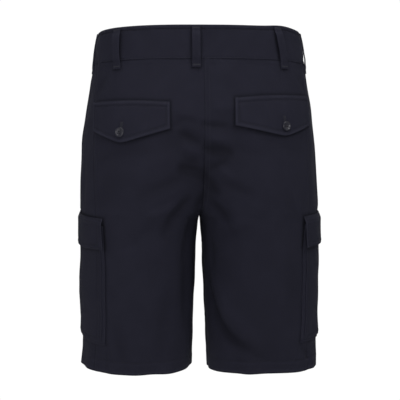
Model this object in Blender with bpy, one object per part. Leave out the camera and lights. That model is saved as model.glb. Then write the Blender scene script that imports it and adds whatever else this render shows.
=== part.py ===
"""Cargo shorts, empty, in the hollow shape that a wearer gives them.

Metres, +Z up, +X to the wearer's left, +Y to the wearer's back. The origin is the middle of the waist opening,
halfway up the waistband at the side.

The cloth is one skin, described by level sections of the body and the legs. Every piece is cut from that skin:
a point on it is named by its side (+1 left, -1 right), the distance `along` the section from the side of the leg
(backwards positive, forwards negative) and the `level` of the section. Each piece is a wall between two heights
above the skin.
"""

import bmesh
import bpy
import numpy as np

for thing in list(bpy.data.objects):
    bpy.data.objects.remove(thing)

# ---------------------------------------------------------------- sizes of the cloth and its seams

CLOTH = 0.0016  # wall of one panel
SEAM_GAP = 0.0003  # between neighbouring pieces
HALF_GAP = SEAM_GAP / 2
LAID_GAP = 0.0009  # under a piece that lies on another, whose flat facets cut across its curve
LEFT, RIGHT = 1, -1
BACK, FRONT = 1, -1

WAIST_TOP = 0.0265
WAIST_SEAM = -0.025
CROTCH = -0.2585
HEM = -0.502
HEM_TURN_UP = 0.019
HEM_WALL = 0.0030  # the hem is turned up inside

# One row for each section, from the waist down. It is made of quarter curves about `centre`: outwards they reach
# `outer`, at the side, and inwards `inner`, at the inseam. On the trunk `inner` lies past the centre line, and what
# would pass it is left out. `front` and `back` are the depths, the powers say how square the corners are (2 is an
# ellipse), `lean` is the rise towards the back, and `dip` is how far the seat seam sinks in.
SECTION_COLUMNS = ("level", "outer", "centre", "inner", "front", "back", "front_power", "back_power", "lean", "dip")
SECTIONS = np.array([
    (0.045, 0.1520, 0.0000, -0.1520, 0.108, 0.102, 2.3, 2.7, 0.115, 0.0000),
    (0.025, 0.1588, 0.0000, -0.1588, 0.112, 0.107, 2.3, 2.7, 0.115, 0.0000),
    (0.000, 0.1638, 0.0000, -0.1638, 0.115, 0.110, 2.3, 2.7, 0.115, 0.0000),
    (-0.025, 0.1672, 0.0020, -0.1672, 0.118, 0.114, 2.3, 2.7, 0.112, 0.0000),
    (-0.060, 0.1732, 0.0100, -0.1732, 0.121, 0.122, 2.3, 2.6, 0.095, 0.0000),
    (-0.102, 0.1797, 0.0240, -0.1725, 0.124, 0.131, 2.3, 2.5, 0.060, 0.0006),
    (-0.127, 0.1832, 0.0340, -0.1465, 0.126, 0.135, 2.3, 2.4, 0.040, 0.0024),
    (-0.152, 0.1855, 0.0450, -0.1175, 0.127, 0.137, 2.3, 2.4, 0.022, 0.0042),
    (-0.182, 0.1876, 0.0580, -0.0856, 0.126, 0.137, 2.3, 2.4, 0.008, 0.0050),
    (-0.210, 0.1895, 0.0695, -0.0545, 0.123, 0.134, 2.3, 2.4, 0.000, 0.0044),
    (-0.230, 0.1903, 0.0770, -0.0313, 0.120, 0.131, 2.3, 2.4, 0.000, 0.0032),
    (-0.245, 0.1906, 0.0815, -0.0118, 0.118, 0.129, 2.3, 2.4, 0.000, 0.0018),
    (-0.253, 0.1906, 0.0840, -0.0040, 0.116, 0.127, 2.3, 2.4, 0.000, 0.0006),
    (-0.2585, 0.1905, 0.0855, 0.0004, 0.115, 0.126, 2.3, 2.4, 0.000, 0.0000),
    (-0.270, 0.1903, 0.0880, 0.0029, 0.113, 0.124, 2.3, 2.4, 0.000, 0.0000),
    (-0.302, 0.1892, 0.0925, 0.0050, 0.108, 0.119, 2.4, 2.4, 0.000, 0.0000),
    (-0.334, 0.1885, 0.0955, 0.0062, 0.103, 0.114, 2.4, 2.4, 0.000, 0.0000),
    (-0.398, 0.1885, 0.0990, 0.0089, 0.095, 0.105, 2.5, 2.5, 0.000, 0.0000),
    (-0.462, 0.1905, 0.1018, 0.0117, 0.087, 0.096, 2.5, 2.6, 0.000, 0.0000),
    (-0.510, 0.1920, 0.1037, 0.0140, 0.083, 0.090, 2.5, 2.6, 0.000, 0.0000),
])
DIP_WIDTH = 0.022  # the dip is down to a third this far from the seat seam


def smooth(at, xs, ys):
    """A curve through the points (xs, ys), xs rising, that never swings past them (monotone cubic)."""
    steps = np.diff(xs)
    slopes = np.diff(ys) / steps
    tangents = np.zeros(len(xs))
    same_way = slopes[1:] * slopes[:-1] > 0
    tangents[1:-1][same_way] = (2 * slopes[1:] * slopes[:-1] / (slopes[1:] + slopes[:-1] + 1e-30))[same_way]
    tangents[0], tangents[-1] = slopes[0], slopes[-1]
    at = np.clip(at, xs[0], xs[-1])
    k = np.clip(np.searchsorted(xs, at, side="right") - 1, 0, len(steps) - 1)
    t = (at - xs[k]) / steps[k]
    return (
        ys[k] * (1 + 2 * t) * (1 - t) ** 2
        + ys[k + 1] * t**2 * (3 - 2 * t)
        + steps[k] * (tangents[k] * t * (1 - t) ** 2 - tangents[k + 1] * t**2 * (1 - t))
    )


def section(level):
    """The section's sizes at each level, as {column: values}."""
    rising = SECTIONS[::-1]
    return {
        name: smooth(level, rising[:, 0], rising[:, k])
        for k, name in enumerate(SECTION_COLUMNS)
    }


RING_SAMPLES = 240


def ring(level, face):
    """The section outlines at the levels, from the side of the leg through the back (or front) to its inner side.

    Each is two quarters of superellipses, with a dip at the seat seam. Returns x, y and the distance along, a row
    for each level.
    """
    sizes = {name: values[:, None] for name, values in section(level).items()}
    depth, power = (
        (sizes["back"], sizes["back_power"]) if face == BACK else (sizes["front"], sizes["front_power"])
    )
    turn = np.linspace(0, np.pi, RING_SAMPLES)[None, :]
    cosine, sine = np.cos(turn), np.sin(turn)
    reach = np.where(cosine > 0, sizes["outer"] - sizes["centre"], sizes["inner"] - sizes["centre"])
    x = sizes["centre"] + reach * np.abs(cosine) ** (2 / power)
    y = face * depth * np.abs(sine) ** (2 / power)
    if face == BACK:
        y -= sizes["dip"] * np.exp(-((x / DIP_WIDTH) ** 2))
    pieces = np.hypot(np.diff(x, axis=1), np.diff(y, axis=1))
    along = np.concatenate([np.zeros((len(level), 1)), np.cumsum(pieces, axis=1)], axis=1)
    return x, y, along


def edge(level, face):
    """How far along each section its face ends: by the centre line on the trunk, at the inseam on the leg."""
    level = np.atleast_1d(np.asarray(level, float))
    x, _, along = ring(level, face)
    inside = x >= HALF_GAP
    last = inside.sum(axis=1) - 1
    rows = np.arange(len(level))
    after = np.minimum(last + 1, RING_SAMPLES - 1)
    step = x[rows, last] - x[rows, after]
    share = np.where(step > 0, (x[rows, last] - HALF_GAP) / np.where(step > 0, step, 1), 0)
    return along[rows, last] + share * (along[rows, after] - along[rows, last])


def base_point(along, level):
    """Points of the left half of the skin, before its folds: the section at `level`, walked `along` its outline."""
    points = np.zeros((len(level), 3))
    rows = np.arange(len(level))
    for face in (BACK, FRONT):
        x, y, run = ring(level, face)
        wanted = along * face
        k = np.clip((run < wanted[:, None]).sum(axis=1) - 1, 0, RING_SAMPLES - 2)
        share = (wanted - run[rows, k]) / (run[rows, k + 1] - run[rows, k])
        here = wanted >= 0
        points[here, 0] = (x[rows, k] + share * (x[rows, k + 1] - x[rows, k]))[here]
        points[here, 1] = (y[rows, k] + share * (y[rows, k + 1] - y[rows, k]))[here]
    points[:, 2] = level + section(level)["lean"] * points[:, 1]
    return points


# ---------------------------------------------------------------- folds that the worn cloth falls into

# A fold runs straight from its upper to its lower end. `rise` is its height at the middle, negative in a trough,
# and `half_width` is where it has fallen to about a third.
FOLD_COLUMNS = ("side", "along_top", "level_top", "along_low", "level_low", "half_width", "rise")
FOLDS = np.array([
    (RIGHT, 0.288, -0.340, 0.200, -0.468, 0.011, -0.0055),  # down the inside of the leg
    (RIGHT, 0.262, -0.335, 0.178, -0.455, 0.013, 0.0020),
    (RIGHT, 0.272, -0.155, 0.222, -0.178, 0.011, -0.0030),  # pulls from the crotch over the seat
    (RIGHT, 0.280, -0.222, 0.226, -0.275, 0.011, -0.0040),
    (RIGHT, 0.072, -0.468, 0.060, -0.520, 0.010, 0.0022),
    (LEFT, 0.266, -0.210, 0.212, -0.275, 0.012, -0.0050),
    (LEFT, 0.240, -0.112, 0.228, -0.165, 0.010, -0.0025),
    (LEFT, 0.255, -0.330, 0.235, -0.450, 0.014, -0.0030),
    (LEFT, 0.160, -0.270, 0.148, -0.430, 0.030, 0.0020),
    (LEFT, -0.262, -0.230, -0.200, -0.285, 0.015, -0.0030),  # the same pulls in front
    (LEFT, -0.240, -0.175, -0.160, -0.215, 0.013, -0.0030),
    (LEFT, -0.230, -0.340, -0.190, -0.470, 0.015, -0.0035),
    (RIGHT, -0.256, -0.226, -0.190, -0.275, 0.015, -0.0032),
    (RIGHT, -0.238, -0.170, -0.150, -0.222, 0.014, -0.0030),
    (RIGHT, -0.245, -0.330, -0.200, -0.455, 0.014, -0.0035),
])
FOLD_FADE = 0.014  # folds die out this far from the seams between the two sides


def fold_height(side, along, level):
    """How far the folds lift the skin: a bell across each fold and a sine arch along it, added up."""
    height = np.zeros(len(level))
    for row in FOLDS:
        fold = dict(zip(FOLD_COLUMNS, row))
        if fold["side"] != side:
            continue
        start = np.array((fold["along_top"], fold["level_top"]))
        run = np.array((fold["along_low"], fold["level_low"])) - start
        length = np.hypot(*run)
        way = run / length
        offset = np.stack([along, level], axis=1) - start
        share = np.clip(offset @ way / length, 0, 1)
        across = offset[:, 0] * way[1] - offset[:, 1] * way[0]
        height += fold["rise"] * np.sin(np.pi * share) * np.exp(-((across / fold["half_width"]) ** 2))
    face_edge = np.where(along >= 0, edge(level, BACK), edge(level, FRONT))
    return height * np.clip((face_edge - np.abs(along)) / FOLD_FADE, 0, 1)


NORMAL_STEP = 0.0005


def place(side, along, level, height):
    """Points at a height above the skin, measured along the outward normal of the unfolded skin."""
    along, level, height = (np.ravel(a).astype(float) for a in np.broadcast_arrays(along, level, height))
    points = base_point(along, level)
    backwards = base_point(along + NORMAL_STEP, level) - base_point(along - NORMAL_STEP, level)
    upwards = base_point(along, level + NORMAL_STEP) - base_point(along, level - NORMAL_STEP)
    normals = np.cross(backwards, upwards)
    normals /= np.linalg.norm(normals, axis=1, keepdims=True)
    points += normals * (height + fold_height(side, along, level))[:, None]
    points[:, 0] *= side
    normals[:, 0] *= side
    return points, normals


# ---------------------------------------------------------------- making objects

def material(name, colour, roughness, metallic=0.0):
    paint = bpy.data.materials.new(name)
    paint.use_nodes = True
    shader = paint.node_tree.nodes["Principled BSDF"]
    shader.inputs["Base Color"].default_value = (*colour, 1)
    shader.inputs["Roughness"].default_value = roughness
    shader.inputs["Metallic"].default_value = metallic
    return paint


SHARP_EDGE = np.radians(40)


def add_solid(name, points, faces, paint):
    """A closed mesh object whose faces point out."""
    mesh = bpy.data.meshes.new(name)
    mesh.from_pydata([tuple(p) for p in points], [], faces)
    solid = bmesh.new()
    solid.from_mesh(mesh)
    bmesh.ops.recalc_face_normals(solid, faces=solid.faces)
    solid.to_mesh(mesh)
    solid.free()
    mesh.shade_smooth()
    mesh.set_sharp_from_angle(angle=SHARP_EDGE)
    mesh.materials.append(paint)
    thing = bpy.data.objects.new(name, mesh)
    bpy.context.scene.collection.objects.link(thing)
    return thing


def add_wall(name, side, along, level, low, high, paint):
    """A closed wall between two heights, over a grid of places (rows x columns) on the skin."""
    rows, columns = along.shape
    inner, _ = place(side, along, level, np.broadcast_to(low, along.shape))
    outer, _ = place(side, along, level, np.broadcast_to(high, along.shape))
    count = rows * columns
    index = np.arange(count).reshape(rows, columns)
    a, b, c, d = index[:-1, :-1], index[:-1, 1:], index[1:, 1:], index[1:, :-1]
    sheet = np.stack([a, b, c, d], axis=-1).reshape(-1, 4)
    rim = np.concatenate([index[0, :-1], index[:-1, -1], index[-1, :0:-1], index[:0:-1, 0]])
    after = np.roll(rim, -1)
    sides = np.stack([after, rim, rim + count, after + count], axis=-1)
    faces = np.concatenate([sheet, sheet[:, ::-1] + count, sides]).tolist()
    return add_solid(name, np.concatenate([inner, outer]), faces, paint)


def spread(*stretches):
    """Levels from the top down, each stretch (top, bottom, steps) evenly divided."""
    values = [np.linspace(top, bottom, steps + 1)[:-1] for top, bottom, steps in stretches]
    return np.append(np.concatenate(values), stretches[-1][1])


def columns_between(start, end, count):
    """A row of evenly spaced places from one edge to the other, for every level."""
    share = np.linspace(0, 1, count)[None, :]
    return start[:, None] * (1 - share) + end[:, None] * share


def columns_by_way_of(start, middle, end, first, second):
    """As columns_between, but with `first` steps up to the place `middle` and `second` steps from there on."""
    middle = np.full(len(start), middle)
    ahead = columns_between(start, middle, first + 1)
    return np.concatenate([ahead[:, :-1], columns_between(middle, end, second + 1)], axis=1)


def curve(points, at):
    """A smooth curve through (where, value) points, read at `at`."""
    where, value = np.array(sorted(points)).T
    return smooth(np.asarray(at, float), where, value)


def ease(at, start, end):
    """0 before `start`, 1 after `end`, and an S curve between; the ends may be in either order."""
    share = np.clip((np.asarray(at, float) - start) / (end - start), 0, 1)
    return share**2 * (3 - 2 * share)


# ---------------------------------------------------------------- materials

NAVY = (0.0170, 0.0170, 0.0265)
twill = material("navy twill", NAVY, 0.85)
twill_flap = material("navy twill, double", (0.0185, 0.0185, 0.0285), 0.85)
horn = material("dark blue button", (0.0290, 0.0290, 0.0400), 0.40)
tape = material("zip tape", (0.0130, 0.0130, 0.0200), 0.90)
zinc = material("dark zip metal", (0.0800, 0.0780, 0.0760), 0.35, metallic=1.0)

SIDES = {LEFT: "left", RIGHT: "right"}

# ---------------------------------------------------------------- the side seam and the fly

# The side seam lies behind the side of the leg, as (level, along).
SIDE_SEAM = ((0.045, 0.048), (-0.025, 0.053), (-0.085, 0.068), (-0.150, 0.087), (-0.250, 0.102), (-0.360, 0.095),
             (-0.510, 0.076))

# The left side laps over the right at the fly: it passes the centre line and is lifted clear of what lies under it.
FLY_LAP = 0.008
FLY_LIFT = 0.0032
FLY_LAP_ENDS = (-0.110, -0.135)  # the lap narrows to nothing between these levels
FLY_LIFT_ENDS = (-0.135, -0.160)  # and the lift dies out below it
FLY_LIFT_REACH = (0.066, 0.036)  # from here to here, towards the centre line, the left side rises


def centre_lap(side, level):
    """How far the front edge of a side passes the centre line; negative leaves half a seam gap."""
    if side == RIGHT:
        return np.full(len(level), -HALF_GAP)
    return (FLY_LAP + HALF_GAP) * ease(level, FLY_LAP_ENDS[1], FLY_LAP_ENDS[0]) - HALF_GAP


def fly_lift(side, along, level):
    """How high the left side is lifted near the front centre line."""
    if side == RIGHT:
        return np.zeros(along.shape)
    rest = edge(level, FRONT)[:, None] + along
    return FLY_LIFT * ease(rest, *FLY_LIFT_REACH) * ease(level, FLY_LIFT_ENDS[1], FLY_LIFT_ENDS[0])[:, None]


# ---------------------------------------------------------------- panels

PANEL_LEVELS = spread(
    (WAIST_SEAM - SEAM_GAP, -0.175, 7),
    (-0.175, -0.238, 4),
    (-0.238, -0.253, 3),
    (-0.253, CROTCH, 3),
    (CROTCH, -0.290, 2),
    (-0.290, HEM + HEM_TURN_UP, 7),
    (HEM + HEM_TURN_UP, HEM, 1),
)
# The panels widen fast above the crotch, so their grid is split at a place that the widening leaves alone.
PANEL_MIDDLE = 0.205
BACK_STEPS = (9, 7)
FRONT_STEPS = (8, 18)

# The turned-up hem makes the wall thicker inside.
panel_inside = -np.where(PANEL_LEVELS < HEM + HEM_TURN_UP + 0.001, HEM_WALL, CLOTH)[:, None]

for side, word in SIDES.items():
    seam = curve(SIDE_SEAM, PANEL_LEVELS)
    inner_edge = edge(PANEL_LEVELS, BACK) - HALF_GAP
    along = columns_by_way_of(seam + HALF_GAP, PANEL_MIDDLE, inner_edge, *BACK_STEPS)
    level = np.broadcast_to(PANEL_LEVELS[:, None], along.shape)
    add_wall(f"back_{word}", side, along, level, panel_inside, 0, twill)

    front_edge = -edge(PANEL_LEVELS, FRONT) - centre_lap(side, PANEL_LEVELS)
    along = columns_by_way_of(front_edge, -PANEL_MIDDLE, seam - HALF_GAP, *FRONT_STEPS)
    level = np.broadcast_to(PANEL_LEVELS[:, None], along.shape)
    lift = fly_lift(side, along, PANEL_LEVELS)
    add_wall(f"front_{word}", side, along, level, panel_inside + lift, lift, twill)

# ---------------------------------------------------------------- waistband

BAND_OUTSIDE = 0.0009  # the waistband is double and stands a little proud of the panels
BAND_COLUMNS = 25
UNDERLAP = 0.030  # the right half runs on under the left one

band_levels = np.linspace(WAIST_TOP, WAIST_SEAM, 4)
for side, word in SIDES.items():
    past_centre = UNDERLAP if side == RIGHT else FLY_LAP
    start = -edge(band_levels, FRONT) - past_centre
    along = columns_between(start, edge(band_levels, BACK) - HALF_GAP, BAND_COLUMNS)
    level = np.repeat(band_levels[:, None], BAND_COLUMNS, axis=1)
    lift = fly_lift(side, along, band_levels)
    add_wall(f"waistband_{word}", side, along, level, lift - CLOTH, lift + BAND_OUTSIDE, twill)

# ---------------------------------------------------------------- belt loops

LOOP_WIDTH = 0.013
LOOP_CLOTH = 0.0015
# The loop's inner face, as (level, height): sewn flat at both ends, with room for a belt between.
LOOP_ARCH = ((0.0250, 0.0014), (0.0185, 0.0016), (0.0110, 0.0037), (-0.0080, 0.0045), (-0.0225, 0.0034),
             (-0.0310, 0.0009), (-0.0375, 0.0006))
LOOP_FLAT = 0.0014  # higher than this the loop stands off
# Each loop's place is its distance from the centre line of its face, at its top and at its foot. The last number is
# its share of the room for a belt: the loops at the sides lie flatter.
LOOPS = (
    ("loop_back", LEFT, BACK, 0.011, 0.011, 1.0),
    ("loop_back_left", LEFT, BACK, 0.1335, 0.1335, 1.0),
    ("loop_back_right", RIGHT, BACK, 0.116, 0.1275, 1.0),
    ("loop_side_left", LEFT, BACK, 0.205, 0.205, 0.0),
    ("loop_side_right", RIGHT, BACK, 0.199, 0.203, 0.1),
    ("loop_front_left", LEFT, FRONT, 0.108, 0.108, 1.0),
    ("loop_front_right", RIGHT, FRONT, 0.108, 0.108, 1.0),
)

loop_levels = np.array([at for at, _ in LOOP_ARCH])
loop_arch = np.array([height for _, height in LOOP_ARCH])[:, None]
for name, side, face, from_centre_top, from_centre_foot, room in LOOPS:
    share = (loop_levels - loop_levels[0]) / (loop_levels[-1] - loop_levels[0])
    middle = face * (edge(loop_levels, face) - from_centre_top * (1 - share) - from_centre_foot * share)
    along = columns_between(middle - LOOP_WIDTH / 2, middle + LOOP_WIDTH / 2, 3)
    level = np.repeat(loop_levels[:, None], 3, axis=1)
    height = np.minimum(loop_arch, LOOP_FLAT + room * np.maximum(loop_arch - LOOP_FLAT, 0))
    add_wall(name, side, along, level, height, height + LOOP_CLOTH, twill)

# ---------------------------------------------------------------- back pocket flaps and their buttons

FLAP_CLOTH = 0.0018
FLAP_PAST_SEAM = 0.002  # its outer end is caught just behind the side seam
# Levels of the flap's corners; `point` is its lowest place, at `point_share` of its width from the inner end.
BACK_FLAP_COLUMNS = ("side", "from_centre", "top_inner", "top_middle", "top_outer", "low_inner", "point",
                     "low_outer", "point_share", "button_from_centre", "button_level")
BACK_FLAPS = (
    (LEFT, 0.0510, -0.0855, -0.0828, -0.0830, -0.1222, -0.1410, -0.1250, 0.590, 0.1273, -0.1267),
    (RIGHT, 0.0455, -0.0798, -0.0755, -0.0740, -0.1180, -0.1320, -0.1170, 0.598, 0.1268, -0.1186),
)
POINT_ROUNDING = 0.0022
FLAP_COLUMNS = 15
FLAP_ROWS = 5


def pointed_edge(flap, share_across):
    """The flap's lower edge: two straight runs to a point, which a hyperbola between them rounds."""
    point = flap["point"] - POINT_ROUNDING
    falling = flap["low_inner"] + (point - flap["low_inner"]) * share_across / flap["point_share"]
    rising = flap["low_outer"] + (point - flap["low_outer"]) * (1 - share_across) / (1 - flap["point_share"])
    return (falling + rising) / 2 + np.hypot((falling - rising) / 2, POINT_ROUNDING)


def back_flap_grid(flap, share_across, share_down):
    """Places on a flap: across from its inner end, and down from its top edge to its pointed lower edge."""
    top = curve(((0, flap["top_inner"]), (0.5, flap["top_middle"]), (1, flap["top_outer"])), share_across)
    low = pointed_edge(flap, share_across)
    level = top + (low - top) * share_down
    flat = level.ravel()
    inner = edge(flat, BACK).reshape(level.shape) - flap["from_centre"]
    outer = curve(SIDE_SEAM, level) + FLAP_PAST_SEAM
    return inner + (outer - inner) * share_across, level


BUTTON_RADIUS = 0.0073
BUTTON_THICKNESS = 0.0026
BUTTON_SIDES = 20
# The turned outline of a button, as (share of the radius, share of the thickness), from the middle of its back.
BUTTON_OUTLINE = ((0.00, 0.00), (0.86, 0.00), (1.00, 0.35), (0.97, 0.80), (0.84, 1.00), (0.66, 0.80), (0.00, 0.72))


def add_button(name, side, along, level, height, radius, thickness):
    """A turned button whose back lies at `height` above the skin."""
    (centre,), (normal,) = place(side, np.array([along]), np.array([level]), np.array([height]))
    across = np.cross((0, 0, 1), normal)
    across /= np.linalg.norm(across)
    upwards = np.cross(normal, across)
    turn = np.linspace(0, 2 * np.pi, BUTTON_SIDES, endpoint=False)[:, None]
    circle = np.cos(turn) * across + np.sin(turn) * upwards
    rings = [centre + r * radius * circle + h * thickness * normal for r, h in BUTTON_OUTLINE[1:-1]]
    back_point = centre + BUTTON_OUTLINE[0][1] * thickness * normal
    face_point = centre + BUTTON_OUTLINE[-1][1] * thickness * normal
    points = np.concatenate([*rings, [back_point, face_point]])
    here = np.arange(BUTTON_SIDES)
    after = np.roll(here, -1)
    faces = []
    for k in range(len(rings) - 1):
        low, high = k * BUTTON_SIDES, (k + 1) * BUTTON_SIDES
        faces += np.stack([here + low, after + low, after + high, here + high], axis=1).tolist()
    last = (len(rings) - 1) * BUTTON_SIDES
    faces += np.stack([after, here, np.full(BUTTON_SIDES, len(points) - 2)], axis=1).tolist()
    faces += np.stack([here + last, after + last, np.full(BUTTON_SIDES, len(points) - 1)], axis=1).tolist()
    return add_solid(name, points, faces, horn)


across, down = np.meshgrid(np.linspace(0, 1, FLAP_COLUMNS), np.linspace(0, 1, FLAP_ROWS))
for row in BACK_FLAPS:
    flap = dict(zip(BACK_FLAP_COLUMNS, row))
    word = SIDES[flap["side"]]
    along, level = back_flap_grid(flap, across, down)
    add_wall(f"back_flap_{word}", flap["side"], along, level, LAID_GAP, LAID_GAP + FLAP_CLOTH, twill_flap)
    button_along = edge(flap["button_level"], BACK)[0] - flap["button_from_centre"]
    add_button(f"back_button_{word}", flap["side"], button_along, flap["button_level"],
               FLAP_CLOTH + LAID_GAP + SEAM_GAP, BUTTON_RADIUS, BUTTON_THICKNESS)

# ---------------------------------------------------------------- cargo pockets

# The pocket's back edge on each leg, as (level, along).
CARGO_BACK = {
    LEFT: ((-0.250, 0.1125), (-0.300, 0.1095), (-0.449, 0.0975)),
    RIGHT: ((-0.250, 0.1060), (-0.300, 0.1030), (-0.350, 0.0975), (-0.400, 0.0945), (-0.449, 0.0935)),
}
CARGO_WIDTH = 0.165
CARGO_TOP = -0.264
CARGO_BOTTOM = -0.449
GUSSET_BASE = 0.0055  # the bellows reach this far outside the pocket's face
GUSSET_UNDER = 0.009  # and this far under it
GUSSET_SHOULDER = 0.0015  # the bellows' wall reaches its full height this far outside the face
GUSSET_EDGE = 0.0018
GUSSET_TOP = 0.0025
FACE_LOW = GUSSET_TOP + LAID_GAP
FACE_HIGH = FACE_LOW + 0.0015
# Each flap reaches past the pocket at both ends. The right one hangs a little forward at its back corner.
CARGO_FLAP_COLUMNS = ("top", "low", "back_at_top", "back_at_low", "front")
CARGO_FLAPS = {
    LEFT: (-0.2525, -0.3035, 0.1175, 0.1170, -0.0625),
    RIGHT: (-0.2515, -0.2990, 0.1150, 0.1095, -0.0665),
}
CARGO_FLAP_CLOTH = 0.0018
# How far the flap's lower edge stands off the pocket.
CARGO_FLAP_OFF = {LEFT: 0.0004, RIGHT: 0.0032}


def cargo_along(side, share, level):
    """A place across the cargo pocket: 0 at its back edge, 1 at its front edge."""
    return curve(CARGO_BACK[side], level) - CARGO_WIDTH * share


def cargo_flap_grid(side, share_across, share_down):
    """Places on a cargo flap: across from its back edge, and down from its top edge."""
    flap = dict(zip(CARGO_FLAP_COLUMNS, CARGO_FLAPS[side]))
    back = flap["back_at_top"] + (flap["back_at_low"] - flap["back_at_top"]) * share_down
    level = flap["top"] + (flap["low"] - flap["top"]) * share_down
    return back + (flap["front"] - back) * share_across, level


# The gusset follows the pocket's back, bottom and front edges. Across it, each place has its distance outside the
# face's edge and the height of its top.
gusset_out = np.array((GUSSET_BASE, GUSSET_SHOULDER, -GUSSET_UNDER))[:, None]
gusset_high = np.array((GUSSET_EDGE, GUSSET_TOP, GUSSET_TOP))[:, None]
SIDE_STEPS, BOTTOM_STEPS = 8, 16
side_levels = np.linspace(CARGO_TOP, CARGO_BOTTOM, SIDE_STEPS + 1)[:-1]
path_share = np.concatenate([np.zeros(SIDE_STEPS), np.linspace(0, 1, BOTTOM_STEPS + 1), np.ones(SIDE_STEPS)])
path_level = np.concatenate([side_levels, np.full(BOTTOM_STEPS + 1, CARGO_BOTTOM), side_levels[::-1]])
push_back = np.concatenate([np.ones(SIDE_STEPS + 1), np.zeros(BOTTOM_STEPS - 1), -np.ones(SIDE_STEPS + 1)])
push_down = (path_level == CARGO_BOTTOM).astype(float)

face_across, face_down = np.meshgrid(np.linspace(0, 1, 15), np.linspace(0, 1, 9))
flap_across, flap_down = np.meshgrid(np.linspace(0, 1, 15), np.linspace(0, 1, 5))

for side, word in SIDES.items():
    level = path_level - gusset_out * push_down
    along = cargo_along(side, path_share, level) + gusset_out * push_back
    add_wall(f"cargo_gusset_{word}", side, along, level, LAID_GAP, gusset_high, twill)

    level = CARGO_TOP + (CARGO_BOTTOM - CARGO_TOP) * face_down
    add_wall(f"cargo_pocket_{word}", side, cargo_along(side, face_across, level), level, FACE_LOW, FACE_HIGH,
             twill)

    along, level = cargo_flap_grid(side, flap_across, flap_down)
    low = LAID_GAP + FACE_HIGH * ease(flap_down, 0.0, 0.23) + CARGO_FLAP_OFF[side] * flap_down**2
    add_wall(f"cargo_flap_{word}", side, along, level, low, low + CARGO_FLAP_CLOTH, twill_flap)

# ---------------------------------------------------------------- fly zip and waist button

ZIP_TOP, ZIP_FOOT = -0.030, -0.128
TAPE_HALF_WIDTH = 0.016
TAPE_TOP = -CLOTH - SEAM_GAP
TAPE_CLOTH = 0.0008
CHAIN_HALF_WIDTH = 0.0025
CHAIN_MIDDLE = 0.0060  # the chain lies this far to the left of the centre line, past the right front's edge
CHAIN_TOP = -0.0002
SLIDER_LENGTH = 0.010
SLIDER_HALF_WIDTH = 0.0040
SLIDER_HEIGHTS = (0.0001, 0.0013)

# Across the zip: the distance to the left of the centre line, and the height of its outer face there.
zip_places = np.array((-TAPE_HALF_WIDTH + CHAIN_MIDDLE, CHAIN_MIDDLE - CHAIN_HALF_WIDTH - 0.0001,
                       CHAIN_MIDDLE - CHAIN_HALF_WIDTH, CHAIN_MIDDLE + CHAIN_HALF_WIDTH,
                       CHAIN_MIDDLE + CHAIN_HALF_WIDTH + 0.0001, TAPE_HALF_WIDTH + CHAIN_MIDDLE))
zip_high = np.array((TAPE_TOP, TAPE_TOP, CHAIN_TOP, CHAIN_TOP, TAPE_TOP, TAPE_TOP))
zip_levels = np.linspace(ZIP_TOP, ZIP_FOOT, 7)
along = zip_places[None, :] - edge(zip_levels, FRONT)[:, None]
level = np.repeat(zip_levels[:, None], len(zip_places), axis=1)
add_wall("fly_zip", LEFT, along, level, TAPE_TOP - TAPE_CLOTH, zip_high, tape)

slider_levels = np.linspace(ZIP_TOP, ZIP_TOP - SLIDER_LENGTH, 3)
slider_places = CHAIN_MIDDLE + SLIDER_HALF_WIDTH * np.array((-1, 0, 1))
along = slider_places[None, :] - edge(slider_levels, FRONT)[:, None]
level = np.repeat(slider_levels[:, None], 3, axis=1)
add_wall("zip_slider", LEFT, along, level, SLIDER_HEIGHTS[0], SLIDER_HEIGHTS[1], zinc)

WAIST_BUTTON_RADIUS = 0.0085
WAIST_BUTTON_THICKNESS = 0.0032
WAIST_BUTTON_FROM_CENTRE = 0.003
button_along = WAIST_BUTTON_FROM_CENTRE - edge(0.0, FRONT)[0]
add_button("waist_button", LEFT, button_along, 0.0, FLY_LIFT + BAND_OUTSIDE + SEAM_GAP,
           WAIST_BUTTON_RADIUS, WAIST_BUTTON_THICKNESS)
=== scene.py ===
"""Cargo shorts of navy cotton twill, empty, in the hollow shape that a wearer gives them.

Metres, +Z up, +X to the wearer's left, +Y to the wearer's back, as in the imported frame. A place on the cloth
has a side (+1 left, -1 right), the distance `along` its level section from the side of the leg (backwards
positive, forwards negative) and the `level` of that section.
"""

import bpy
import numpy as np
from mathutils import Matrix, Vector


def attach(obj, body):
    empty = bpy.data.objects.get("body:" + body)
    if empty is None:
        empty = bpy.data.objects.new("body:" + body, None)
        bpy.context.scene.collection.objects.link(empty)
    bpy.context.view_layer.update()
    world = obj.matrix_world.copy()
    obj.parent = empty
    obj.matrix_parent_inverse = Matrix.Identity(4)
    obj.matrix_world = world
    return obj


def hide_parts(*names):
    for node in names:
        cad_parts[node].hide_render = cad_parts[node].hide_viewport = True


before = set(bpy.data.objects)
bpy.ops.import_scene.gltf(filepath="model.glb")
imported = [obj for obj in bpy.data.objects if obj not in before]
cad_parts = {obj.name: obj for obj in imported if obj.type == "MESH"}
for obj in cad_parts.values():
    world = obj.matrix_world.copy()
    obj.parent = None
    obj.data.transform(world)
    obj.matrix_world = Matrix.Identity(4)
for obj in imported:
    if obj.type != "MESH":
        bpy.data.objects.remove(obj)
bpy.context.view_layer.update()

# ---------------------------------------------------------------- the backs and the fronts
# Two backs and two fronts of midweight cotton twill make the trunk and both legs. They are cut flat, sewn
# together at the sides, the seat and the inseams, and hemmed. Worn and emptied again, they keep soft folds
# that run out of the crotch, hang down the thighs and ripple at the stitching.

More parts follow.
